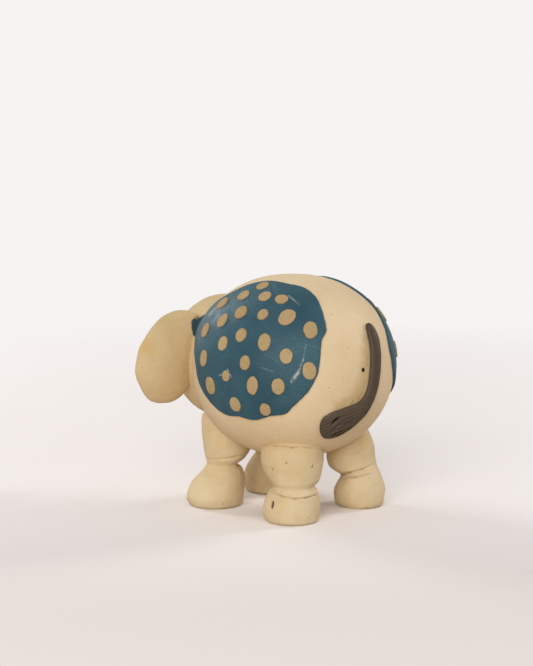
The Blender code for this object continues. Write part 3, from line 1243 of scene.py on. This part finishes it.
@dataclass
class Leg:
    """One leg with a flat sole, narrowed at its waist, with the folds that pressing left."""

    name: str
    x: float
    y: float
    back: float
    lean: float
    rows: LegRows
    seed: float
    folds: tuple[Fold, ...] = ()
    pocks: tuple[Pock, ...] = ()
    cracks_and_fold_shade: tuple[CrackAndFoldShade, ...] = ()
    stains: tuple[tuple[float, float, float], ...] = ()

    def crease(self, height: float, angle: float) -> float:
        """Find how deep the folds and pits are.

        Args:
            height: Height over the sole.
            angle: Degrees from the leg's back.

        Returns:
            The depth in millimetres.
        """
        depth = 0.0
        for fold in self.folds:
            off = (angle - fold.facing + 180.0) % 360.0 - 180.0
            reach = max(0.0, 1.0 - (off / fold.spread) ** 2)
            line = fold.height + fold.tilt * off / fold.spread
            depth += fold.depth * reach * math.exp(-((height - line) / fold.width) ** 2)
        for pock in self.pocks:
            off = (angle - pock.facing + 180.0) % 360.0 - 180.0
            far = math.hypot((height - pock.height) / pock.tall, off * 0.16 / pock.wide)
            depth += pock.depth * (1.0 - soft_step(0.5, 1.0, far))
        return depth

    def level(self, centre_y: float, place: float) -> tuple[Vector, float]:
        """Find one level of the leg.

        Args:
            centre_y: The barrel's middle along Y.
            place: Place along the leg's rows.

        Returns:
            The level's middle and its half width.
        """
        height, fore_reach, aft_reach = read_open(self.rows, place)
        middle = Vector((self.x, centre_y + self.y, 0.0)) + self.outward(0.0) * (aft_reach - fore_reach) / 2
        middle += self.outward(90.0) * self.lean * height / self.rows[-1][0]
        middle.z = height
        return middle, (fore_reach + aft_reach) / 2

    def outward(self, facing: float) -> Vector:
        """Return the way out of the leg by degrees from its back."""
        angle = math.radians(self.back + facing)
        return Vector((math.cos(angle), math.sin(angle), 0.0))

    def on(self, centre_y: float, facing: float, height: float) -> Vector:
        """Return a place on the leg's side by degrees from its back and height.

        Args:
            centre_y: The barrel's middle along Y.
            facing: Degrees from the leg's back.
            height: Height over the sole.

        Returns:
            The place.
        """
        low, high = 0.0, float(len(self.rows) - 1)
        for _ in range(20):
            place = (low + high) / 2
            if self.level(centre_y, place)[0].z < height:
                low = place
            else:
                high = place
        middle, half = self.level(centre_y, low)
        return middle + self.outward(facing) * (half - self.crease(height, facing))

    def marks(self, centre_y: float) -> list[Mark]:
        """Return the dark lines of painted fold and joint shade and real splits, the pits and the yellow
        stains of the leg.

        Args:
            centre_y: The barrel's middle along Y.

        Returns:
            The marks.
        """
        deep, brown, yellow = srgb(70, 54, 38), srgb(146, 112, 72), srgb(210, 174, 108)
        found: list[Mark] = []
        for dark_line in self.cracks_and_fold_shade:
            start = self.on(centre_y, dark_line.start, dark_line.start_height)
            end = self.on(centre_y, dark_line.end, dark_line.end_height)
            # Painted shade: these brown lines darken the folds and the joint with the barrel.
            found.append(Score(start, end, dark_line.width, brown, dark_line.strength))
        for pock in self.pocks:
            for share in (-0.4, 0.0, 0.4):
                middle = self.on(centre_y, pock.facing, pock.height + share * pock.tall)
                large = pock.depth > 0.6
                colour, strength = (deep, 0.8) if large else (brown, 0.4)
                found.append(Blot(middle, pock.wide * 0.9, colour, strength, 0.25))
        for facing, height, radius in self.stains:
            found.append(Blot(self.on(centre_y, facing, height), radius, yellow, 0.35))
        return found

    def build(self, barrel: Barrel, finishes: Finishes) -> None:
        """Make the leg against the barrel's place.

        Args:
            barrel: The barrel that the leg carries.
            finishes: The materials.
        """
        steps, sides = 170, 240
        rings: list[Ring] = []
        for i in range(steps + 1):
            middle, half = self.level(barrel.dome.centre.y, (len(self.rows) - 1) * i / steps)
            free = soft_step(0.0, 1.0, middle.z)
            ring = []
            for k in range(sides):
                facing = 360.0 * k / sides
                outward = self.outward(facing)
                spot = middle + outward * half
                uneven = 0.34 * lump(spot, 8.0, self.seed) + 0.16 * lump(spot, 3.2, self.seed + 4)
                spot += outward * free * (uneven - self.crease(middle.z, facing))
                ring.append(spot)
            rings.append(ring)
        tip = sum(rings[-1], Vector()) / sides + Vector((0.0, 0.0, 0.4))
        dress(finish_mesh(f"leg_{self.name}", lofted(rings, None, tip)), finishes.limb, ["body"])


@dataclass(frozen=True)
class Spot:
    """One pellet: degrees back and up from the patch's middle, width, length and lean."""

    back: float
    up: float
    width: float
    length: float
    lean: float


SPOTS = tuple(Spot(*row) for row in (
    (-4, 38, 3.9, 4.4, 20), (-13, 29, 4.1, 4.5, 25), (3, 28, 4.2, 4.4, 15), (14, 27, 4.4, 4.0, 10),
    (-8, 16, 4.5, 4.9, 15), (7, 15, 3.6, 4.1, 10), (21, 15, 5.0, 6.4, 35), (-20, 11, 3.9, 5.0, 10),
    (35, 10, 4.5, 5.9, 5), (-34, 6, 3.9, 5.1, 0), (-3, 2, 4.0, 4.6, 10), (-15, -3, 3.9, 4.8, 5),
    (12, -1, 4.1, 5.7, 0), (-31, -11, 3.8, 5.5, 0), (25, -7, 4.1, 4.9, -5), (2, -13, 3.7, 4.8, 0),
    (38, -13, 4.4, 5.8, -5), (-11, -21, 3.1, 3.6, 0), (-25, -27, 4.5, 5.9, -10), (7, -25, 3.8, 6.1, 5),
    (22, -24, 4.3, 5.2, 0), (-6, -37, 4.2, 5.0, -5), (14, -38, 3.7, 4.3, 0), (-28, 24, 4.2, 5.0, 20),
))


@dataclass
class Flank:
    """A blue slab patch on one flank, with its raised pellets."""

    barrel: Barrel
    side: Side
    corners: tuple[tuple[float, float], ...]
    around: float = 12.0
    latitude: float = 21.0
    seat: float = 0.1
    thickness: float = 0.6
    spot_height: float = 0.5
    spot_turn: float = 0.0
    spot_share: float = 1.0
    spot_foot: float = 0.25
    spot_lip: float = 0.05
    spot_crown: float = 0.03
    sunk: float = 0.4

    def direction(self, reach: float, bearing: float) -> Vector:
        """Find a direction by reach and bearing from the patch's middle.

        Args:
            reach: Degrees away from the middle.
            bearing: Degrees turned from the rear way towards up.

        Returns:
            The direction from the barrel's centre.
        """
        around, latitude = math.radians(self.around), math.radians(self.latitude)
        flat = math.cos(latitude)
        middle = Vector((flat * math.cos(around), flat * math.sin(around), math.sin(latitude)))
        back = Vector((-math.sin(around), math.cos(around), 0.0))
        up = middle.cross(back)
        away, turn = math.radians(reach), math.radians(bearing)
        out = middle * math.cos(away) + (back * math.cos(turn) + up * math.sin(turn)) * math.sin(away)
        out.x *= self.side.value
        return out

    def build_slab(self, finishes: Finishes) -> None:
        """Make the slab with its soft rolled edge.

        Args:
            finishes: The materials.
        """
        dome = self.barrel.dome
        sides, steps = 432, 60
        reaches = []
        for k in range(sides):
            bearing = 360.0 * k / sides
            reach = sum(read_cut(self.corners, bearing + turn) for turn in (-2.0, 0.0, 2.0)) / 3
            reaches.append(reach + 0.25 * lump(Vector((bearing / 5.0, self.side.value * 3.0, 0.0)), 1.0))
        rings: list[Ring] = []
        for i in range(1, steps + 1):
            share = 1.0 - (1.0 - i / steps) ** 1.5
            ring = []
            for k, reach in enumerate(reaches):
                way = self.direction(share * reach, 360.0 * k / sides)
                edge = (1.0 - share) * reach * 0.56
                roll = math.sqrt(max(0.0, 1.0 - max(0.0, 1.0 - edge / 0.6) ** 2))
                top = self.seat + self.thickness * (0.45 + 0.55 * roll)
                spot = dome.point(way, top)
                ring.append(spot + dome.normal(way) * 0.08 * lump(spot, 4.5, 11.0) * roll)
            rings.append(ring)
        rings.append([
            dome.point(self.direction(reach, 360.0 * k / sides), -self.sunk)
            for k, reach in enumerate(reaches)
        ])
        middle = self.direction(0.0, 0.0)
        form = lofted(rings, dome.point(middle, self.seat + self.thickness), dome.point(middle, -self.sunk))
        slab = finish_mesh(f"slab_{self.side.word}", form)
        dress(slab, finishes.slip, [f"patch_{self.side.word}"])

    def pellet(self, spot: Spot, number: int) -> BMesh:
        """Make one pellet with a rounded, slightly uneven rim.

        Args:
            spot: The pellet's place and size.
            number: Its number, which sets its unevenness.

        Returns:
            The mesh being built.
        """
        dome = self.barrel.dome
        reach = math.hypot(spot.back, spot.up) * self.spot_share
        bearing = math.degrees(math.atan2(spot.up, spot.back)) + self.spot_turn
        way = self.direction(reach, bearing)
        base = self.seat + self.thickness
        centre, normal = dome.point(way), dome.normal(way)
        up = Vector((0.0, 0.0, 1.0))
        up = (up - normal * up.dot(normal)).normalized()
        across = up.cross(normal)
        turn = math.radians(spot.lean * self.side.value)
        long_way = up * math.cos(turn) + across * math.sin(turn)
        wide_way = across * math.cos(turn) - up * math.sin(turn)
        sides = 48
        seed = number * 1.7 + (30.0 if self.side is Side.RIGHT else 0.0)

        def ring(share: float, height: float) -> Ring:
            """One outline of the pellet.

            Args:
                share: The share of the full outline.
                height: Height over the barrel.

            Returns:
                The outline.
            """
            points = []
            for k in range(sides):
                angle = math.tau * k / sides
                wobble = 1.0 + 0.06 * lump(Vector((math.cos(angle), math.sin(angle), 0.0)) * 1.6, 1.0, seed)
                wide = wide_way * math.cos(angle) * spot.width
                long = long_way * math.sin(angle) * spot.length
                flat = centre + (wide + long) * share * wobble / 2
                points.append(dome.over(flat, height))
            return points

        top = base + self.spot_height
        rings = [ring(0.99, base - self.spot_foot), ring(1.0, base + self.spot_lip)]
        for i in range(1, 7):
            rise = i / 6
            quarter = rise * math.pi / 2
            narrowed = 1.0 - 0.13 * (1 - math.cos(quarter)) - 0.05 * rise ** 3
            height = base + self.spot_lip + (self.spot_height - self.spot_lip) * math.sin(quarter)
            rings.append(ring(narrowed, height))
        rings += [ring(share, top + self.spot_crown * (1 - share)) for share in (0.66, 0.44, 0.22)]
        foot, crown = dome.over(centre, base - self.spot_foot), dome.over(centre, top + self.spot_crown)
        return lofted(rings, foot, crown)

    def build_spots(self, finishes: Finishes) -> None:
        """Make all the pellets as one piece.

        Args:
            finishes: The materials.
        """
        whole = gathered(self.pellet(spot, number) for number, spot in enumerate(SPOTS, start=1))
        nodes = [f"spot_{self.side.word}_{number:02d}" for number in range(1, len(SPOTS) + 1)]
        dress(finish_mesh(f"pellets_{self.side.word}", whole), finishes.spot, nodes)

    def build(self, finishes: Finishes) -> None:
        """Make the slab and its pellets."""
        self.build_slab(finishes)
        self.build_spots(finishes)


@dataclass
class Tail:
    """The dark tail: a roll of clay down the rump that widens into a scored brush."""

    barrel: Barrel
    route: tuple[tuple[float, float, float, float], ...] = (
        (-3.8, 28.0, 0.7, 0.7), (-4.2, 25.6, 1.7, 1.4), (-4.1, 20.5, 2.3, 1.7), (-3.3, 14.5, 2.4, 1.7),
        (-2.0, 7.5, 2.4, 1.7), (-0.7, 0.0, 2.4, 1.7), (0.6, -7.0, 2.3, 1.7), (2.7, -13.4, 2.6, 1.7),
        (6.8, -19.0, 3.5, 1.8), (13.4, -23.2, 4.8, 1.9), (20.0, -26.6, 5.7, 1.9), (24.2, -28.2, 5.7, 1.8),
        (26.9, -28.9, 5.2, 1.6),
    )
    cuts: tuple[tuple[float, float, float, float, float], ...] = (
        (10.55, 0.8, 0.5, 2.0, -0.18), (9.95, 0.9, -0.66, 2.2, -0.1), (10.4, 0.8, 0.15, 0.7, -0.1),
        (9.3, 0.8, 0.0, 0.6, 0.0), (11.0, 0.7, -0.1, 0.8, -0.1), (10.6, 0.7, -0.42, 1.0, -0.1),
    )
    cut_width: float = 0.08
    edge_height: float = 0.2
    tip: float = 0.52

    def scoring(self, place: float, share: float) -> float:
        """Return how deep the brush is scored at a place along and a share across.

        Args:
            place: Place along the route.
            share: Place across, from -1 to 1.

        Returns:
            The depth in millimetres.
        """
        hair = soft_step(6.6, 8.4, place)
        lines = 0.26 * (0.5 + 0.5 * math.sin(share * 25.0 + 1.8 * math.sin(place * 1.7))) * hair
        cuts = 0.0
        for along, length, across, depth, slant in self.cuts:
            near = max(0.0, 1.0 - ((place - along) / length) ** 2)
            line = across + slant * (place - along)
            cuts += depth * near * math.exp(-((share - line) / self.cut_width) ** 2)
        return lines + cuts

    def middle(self, place: float) -> Vector:
        """Return the tail's middle line on the barrel."""
        side, latitude = read_open(self.route, place)[:2]
        return self.barrel.dome.point(rump_direction(side, latitude))

    def heading(self, place: float) -> Vector:
        """Return the way the tail runs at a place."""
        return (self.middle(place + 0.08) - self.middle(place - 0.08)).normalized()

    def skin(
        self, middle: Vector, along: Vector, half: float, tall: float, place: float, turn: float,
    ) -> Vector:
        """Return a place on the tail's skin.

        Args:
            middle: The middle line at this place.
            along: The way the tail runs.
            half: Half the width.
            tall: Height over the barrel.
            place: Place along the route.
            turn: Angle round the tail; 0 and half a turn are its edges.

        Returns:
            The place.
        """
        across = along.cross(self.barrel.dome.normal(middle - self.barrel.dome.centre)).normalized()
        share, rise = math.cos(turn), math.sin(turn)
        height = self.edge_height + tall * (abs(rise) ** 0.8 if rise > 0 else -0.25 * abs(rise))
        height -= self.scoring(place, share) * max(0.0, rise)
        return self.barrel.dome.over(middle + across * half * share, height)

    def marks(self) -> tuple[Mark, ...]:
        """Return the shade on the walls and floors of the brush's deep cuts.

        Returns:
            The marks.
        """
        shade = srgb(24, 18, 14)
        found: list[Mark] = []
        for along, length, across, depth, slant in self.cuts:
            if depth < 0.85:
                continue
            floor = []
            for k in range(-2, 3):
                place = along + k * 0.4 * length
                half, tall = read_open(self.route, place)[2:]
                turn = math.acos(across + slant * (place - along))
                skin = self.skin(self.middle(place), self.heading(place), half, tall, place, turn)
                floor.append(skin + self.barrel.dome.normal(skin - self.barrel.dome.centre) * depth * 0.3)
            found += [Score(start, end, 0.72, shade, 1.0, 0.0) for start, end in zip(floor, floor[1:])]
        return tuple(found)

    def build(self, finishes: Finishes) -> None:
        """Make the tail on the barrel.

        Args:
            finishes: The materials.
        """
        last = len(self.route) - 1
        steps, sides = 340, 200

        def ring(middle: Vector, along: Vector, half: float, tall: float, place: float) -> Ring:
            """The tail's outline across one place."""
            return [self.skin(middle, along, half, tall, place, math.tau * k / sides) for k in range(sides)]

        rings: list[Ring] = []
        for i in range(steps + 1):
            place = last * i / steps
            half, tall = read_open(self.route, place)[2:]
            rings.append(ring(self.middle(place), self.heading(place), half, tall, place))
        half, tall = self.route[-1][2:]
        along = self.heading(last)
        for i in range(1, 16):
            turn = math.pi / 2 * i / 16
            middle = self.barrel.dome.over(self.middle(last) + along * half * self.tip * math.sin(turn), 0.0)
            rings.append(ring(middle, along, half * math.cos(turn), tall * math.cos(turn) ** 0.6, last))
        end = self.barrel.dome.over(self.middle(last) + along * half * self.tip, self.edge_height)
        tail = finish_mesh("tail_brush", lofted(rings, self.middle(0.0), end))
        push(tail, lambda point, normal: 0.05 * lump(point, 3.0, 2.0))
        dress(tail, finishes.dark, ["tail"])


@dataclass
class Studio:
    """Pale floor, soft lights and the camera."""

    barrel: Barrel
    azimuth: float = 132.0
    elevation: float = 6.5
    distance: float = 535.0
    lens: float = 85.0
    sensor: float = 36.0
    barrel_at_x: float = 292.8
    barrel_at_y: float = 365.0
    surround: Colour = srgb(246, 243, 243)
    fill_strength: float = 0.42

    def build_camera(self) -> None:
        """Put the camera where the photograph was taken from."""
        back = view_direction(self.azimuth, self.elevation)
        turn = math.radians(self.azimuth)
        right = Vector((math.cos(turn), math.sin(turn), 0.0))
        up = back.cross(right)
        pixel = self.distance * self.sensor / (self.lens * max(IMAGE_WIDTH, IMAGE_HEIGHT))
        eye = self.barrel.dome.centre + back * self.distance
        eye -= right * (self.barrel_at_x - IMAGE_WIDTH / 2) * pixel
        eye += up * (self.barrel_at_y - IMAGE_HEIGHT / 2) * pixel
        data = bpy.data.cameras.new("camera")
        data.lens = self.lens
        data.sensor_width = self.sensor
        data.clip_start, data.clip_end = 0.01, 20.0
        camera = bpy.data.objects.new("camera", data)
        camera.matrix_world = Matrix.Translation(eye * MM) @ Matrix((right, up, back)).transposed().to_4x4()
        bpy.context.scene.collection.objects.link(camera)
        bpy.context.scene.camera = camera

    def build_lights(self) -> None:
        """Hang soft lights round the figurine."""
        lamps = (
            ("soft_front", 118.0, 22.0, 900.0, 650.0, 4.9),
            ("back_left", 0.0, 27.0, 900.0, 320.0, 2.5),
            ("back_right", 250.0, 27.0, 900.0, 320.0, 2.7),
        )
        target = self.barrel.dome.centre * MM
        for name, azimuth, elevation, away, width, power in lamps:
            back = view_direction(azimuth, elevation)
            data = bpy.data.lights.new(name, "AREA")
            data.shape = "DISK"
            data.size = width * MM
            data.energy = power
            lamp = bpy.data.objects.new(name, data)
            lamp.location = target + back * away * MM
            lamp.rotation_mode = "QUATERNION"
            lamp.rotation_quaternion = (-back).to_track_quat("-Z", "Y")
            bpy.context.scene.collection.objects.link(lamp)

    def build_world(self) -> None:
        """Give a near-white surround that also fills the shadows."""
        world = bpy.data.worlds.new("studio")
        bpy.context.scene.world = world
        world.use_nodes = True
        g = Graph(world.node_tree)
        world.node_tree.nodes.clear()
        rays = g.add("LightPath")
        shown, fill = g.add("Background"), g.add("Background")
        shown.inputs["Color"].default_value = (*self.surround, 1.0)
        fill.inputs["Color"].default_value = (*srgb(255, 252, 250), 1.0)
        fill.inputs["Strength"].default_value = self.fill_strength
        mixed, out = g.add("MixShader"), g.add("OutputWorld")
        g.put(mixed.inputs[0], rays.outputs["Is Camera Ray"])
        g.put(mixed.inputs[1], fill.outputs[0])
        g.put(mixed.inputs[2], shown.outputs[0])
        g.put(out.inputs["Surface"], mixed.outputs[0])

    def build_floor(self) -> None:
        """Lay a pale floor that fades into the surround, with painted shade that darkens it towards the
        camera's side.
        """
        bm = bmesh.new()
        bmesh.ops.create_circle(bm, cap_ends=True, segments=96, radius=3000.0)
        floor = finish_mesh("floor", bm)
        material = bpy.data.materials.new("pale floor")
        material.use_nodes = True
        g = Graph(material.node_tree)
        nodes = material.node_tree.nodes
        shader, out = nodes["Principled BSDF"], nodes["Material Output"]
        place = millimetre_place(g)
        far = g.add("VectorMath", operation="LENGTH")
        g.put(far.inputs[0], place)
        cloud = g.noise(place, 0.012, 3.0)
        # Painted shade: the floor's colour darkens along a fixed direction towards the camera's side,
        # standing in for the lamps' falloff.
        shade_reach = g.add("VectorMath", operation="DOT_PRODUCT")
        g.put(shade_reach.inputs[0], place)
        shade_reach.inputs[1].default_value = (0.743, 0.669, 0.0)
        lit = g.mix(cloud, srgb(249, 243, 241), srgb(253, 248, 246))
        pale = g.mix(g.between(shade_reach.outputs["Value"], 20.0, 150.0), lit, srgb(236, 227, 223))
        seen = g.add("LightPath").outputs["Is Camera Ray"]
        g.put(shader.inputs["Base Color"], g.mix(seen, srgb(205, 194, 186), pale))
        shader.inputs["Roughness"].default_value = 0.7
        shader.inputs["Specular IOR Level"].default_value = 0.2
        g.put(shader.inputs["Normal"], bump(g, g.noise(place, 1.2, 3.0), 0.03, 0.0002))
        glow = g.add("Emission")
        glow.inputs["Color"].default_value = (*self.surround, 1.0)
        rays = g.add("LightPath")
        beyond = g.between(far.outputs["Value"], 260.0, 620.0)
        fade = g.math("MULTIPLY", beyond, rays.outputs["Is Camera Ray"])
        mixed = g.add("MixShader")
        g.put(mixed.inputs[0], fade)
        g.put(mixed.inputs[1], shader.outputs[0])
        g.put(mixed.inputs[2], glow.outputs[0])
        g.put(out.inputs["Surface"], mixed.outputs[0])
        floor.data.materials.append(material)

    def build(self) -> None:
        """Make the floor, the lights, the surround and the camera."""
        self.build_floor()
        self.build_lights()
        self.build_world()
        self.build_camera()
        bpy.context.scene.view_settings.view_transform = "Standard"
        log.info("studio ready")


def main() -> None:
    """Make the whole elephant and its studio."""
    logging.basicConfig(level=logging.INFO, format="%(name)s: %(message)s")
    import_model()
    barrel = Barrel()
    # Each leg's dark lines are mostly painted shade along its folds and its joint with the barrel.
    legs = (
        Leg("rear_left", 16.5, 14.0, 132.0, 5.3, REAR_LEFT_LEG, 1.0, (
            Fold(11.0, -1.5, 3.2, -95.0, 62.0),
            Fold(9.4, 0.9, 0.32, -118.0, 46.0, -1.0),
            Fold(8.8, 0.8, 0.3, -58.0, 44.0, 0.1),
            Fold(11.4, 0.6, 0.6, 0.0, 50.0, 0.5),
            Fold(10.6, 0.5, 0.6, 175.0, 40.0, 0.5),
        ), (
            Pock(6.2, -138.0, 1.7, 1.0, 1.1), Pock(18.0, -132.0, 0.6, 0.5, 0.4),
            Pock(18.8, -50.0, 0.7, 0.5, 0.5), Pock(20.4, -102.0, 0.5, 0.4, 0.3),
        ), (
            CrackAndFoldShade(-156.0, 10.4, -116.0, 9.4, 0.8, 0.3), CrackAndFoldShade(-116.0, 9.4, -88.0, 8.7, 0.8, 0.35),
            CrackAndFoldShade(-88.0, 8.7, -62.0, 8.8, 0.8, 0.4), CrackAndFoldShade(-62.0, 8.8, -22.0, 8.8, 0.7, 0.35),
            CrackAndFoldShade(-174.0, 24.0, -148.0, 25.0, 0.5, 0.5), CrackAndFoldShade(-148.0, 25.0, -124.0, 25.4, 0.5, 0.5),
            CrackAndFoldShade(-124.0, 25.4, -90.0, 25.2, 0.6, 0.5), CrackAndFoldShade(-90.0, 25.2, -54.0, 24.8, 0.6, 0.5),
            CrackAndFoldShade(-54.0, 24.8, -16.0, 23.0, 0.7, 0.6), CrackAndFoldShade(-128.0, 13.6, -120.0, 18.6, 0.25, 0.35),
        )),
        Leg("rear_right", -17.0, 16.0, 132.0, 0.8, REAR_RIGHT_LEG, 2.0, (
            Fold(10.2, -1.0, 3.0, -80.0, 70.0),
            Fold(12.6, 1.0, 0.35, -106.0, 76.0, 2.5),
            Fold(11.0, 0.5, 0.22, -100.0, 52.0, 1.4),
        ), (), (
            CrackAndFoldShade(-168.0, 10.5, -138.0, 11.6, 0.9, 0.6), CrackAndFoldShade(-138.0, 11.6, -106.0, 12.6, 0.8, 0.55),
            CrackAndFoldShade(-106.0, 12.6, -70.0, 13.8, 0.7, 0.5), CrackAndFoldShade(-70.0, 13.8, -30.0, 15.0, 0.6, 0.5),
            CrackAndFoldShade(-144.0, 9.6, -104.0, 10.8, 0.7, 0.45), CrackAndFoldShade(-104.0, 10.8, -60.0, 12.0, 0.5, 0.4),
            CrackAndFoldShade(-92.0, 10.2, -80.0, 7.6, 0.2, 0.5),
        ), ((-56.0, 22.8, 3.0),)),
        Leg("front_left", 15.5, -21.6, 132.0, 0.5, FRONT_LEG, 3.0, (
            Fold(13.6, -1.6, 3.6, -95.0, 70.0),
            Fold(17.2, 0.35, 0.4, -96.0, 62.0, 1.1),
            Fold(13.4, 0.3, 0.22, -60.0, 50.0, 0.4),
            Fold(14.2, 0.8, 0.6, 10.0, 50.0, 0.4),
        ), (), (
            CrackAndFoldShade(-140.0, 16.2, -108.0, 17.0, 0.4, 0.2), CrackAndFoldShade(-78.0, 17.6, -48.0, 18.1, 0.4, 0.3),
        ), ((-42.0, 7.0, 2.0),)),
        Leg("front_right", -14.5, -23.0, 48.0, -0.5, FRONT_LEG, 4.0, (
            Fold(14.6, 0.4, 0.6, 20.0, 120.0, 0.8),
        )),
    )
    tail = Tail(barrel)
    finishes = Finishes(Effects(), barrel.dome, legs, tail)
    Studio(barrel).build()
    barrel.build(finishes)
    Head(barrel).build(finishes)
    for leg in legs:
        leg.build(barrel, finishes)
    flanks = (
        Flank(barrel, Side.LEFT, (
            (0, 42.3), (9, 42.4), (15, 45.2), (25, 45.4), (36, 46.1), (46, 47.4), (57, 47.9), (66, 46.5),
            (74, 44.7), (85, 44.8), (97, 46.1), (117, 44.7), (126, 44.4), (135, 46.3), (152, 51.0),
            (170, 52.6), (179, 48.6), (187, 46.4), (200, 44.6), (211, 46.7), (231, 47.5), (242, 48.1),
            (251, 47.7), (263, 45.0), (277, 46.5), (290, 44.9), (298, 46.3), (303, 47.8), (310, 45.9),
            (328, 45.7), (341, 45.1), (349, 43.8),
        )),
        Flank(barrel, Side.RIGHT, (
            (0, 55.0), (14, 46.0), (30, 38.5), (46, 38.2), (60, 42.0), (76, 46.2), (104, 46.0), (122, 45.5),
            (136, 46.4), (152, 50.0), (170, 52.0), (183, 50.5), (196, 49.0), (211, 47.8), (240, 47.5),
            (256, 47.0), (271, 48.2), (286, 48.0), (300, 49.0), (315, 50.0), (329, 52.4), (344, 55.5),
        ), spot_turn=7.0, spot_share=0.96),
    )
    for flank in flanks:
        flank.build(finishes)
    tail.build(finishes)


if __name__ == "__main__":
    main()
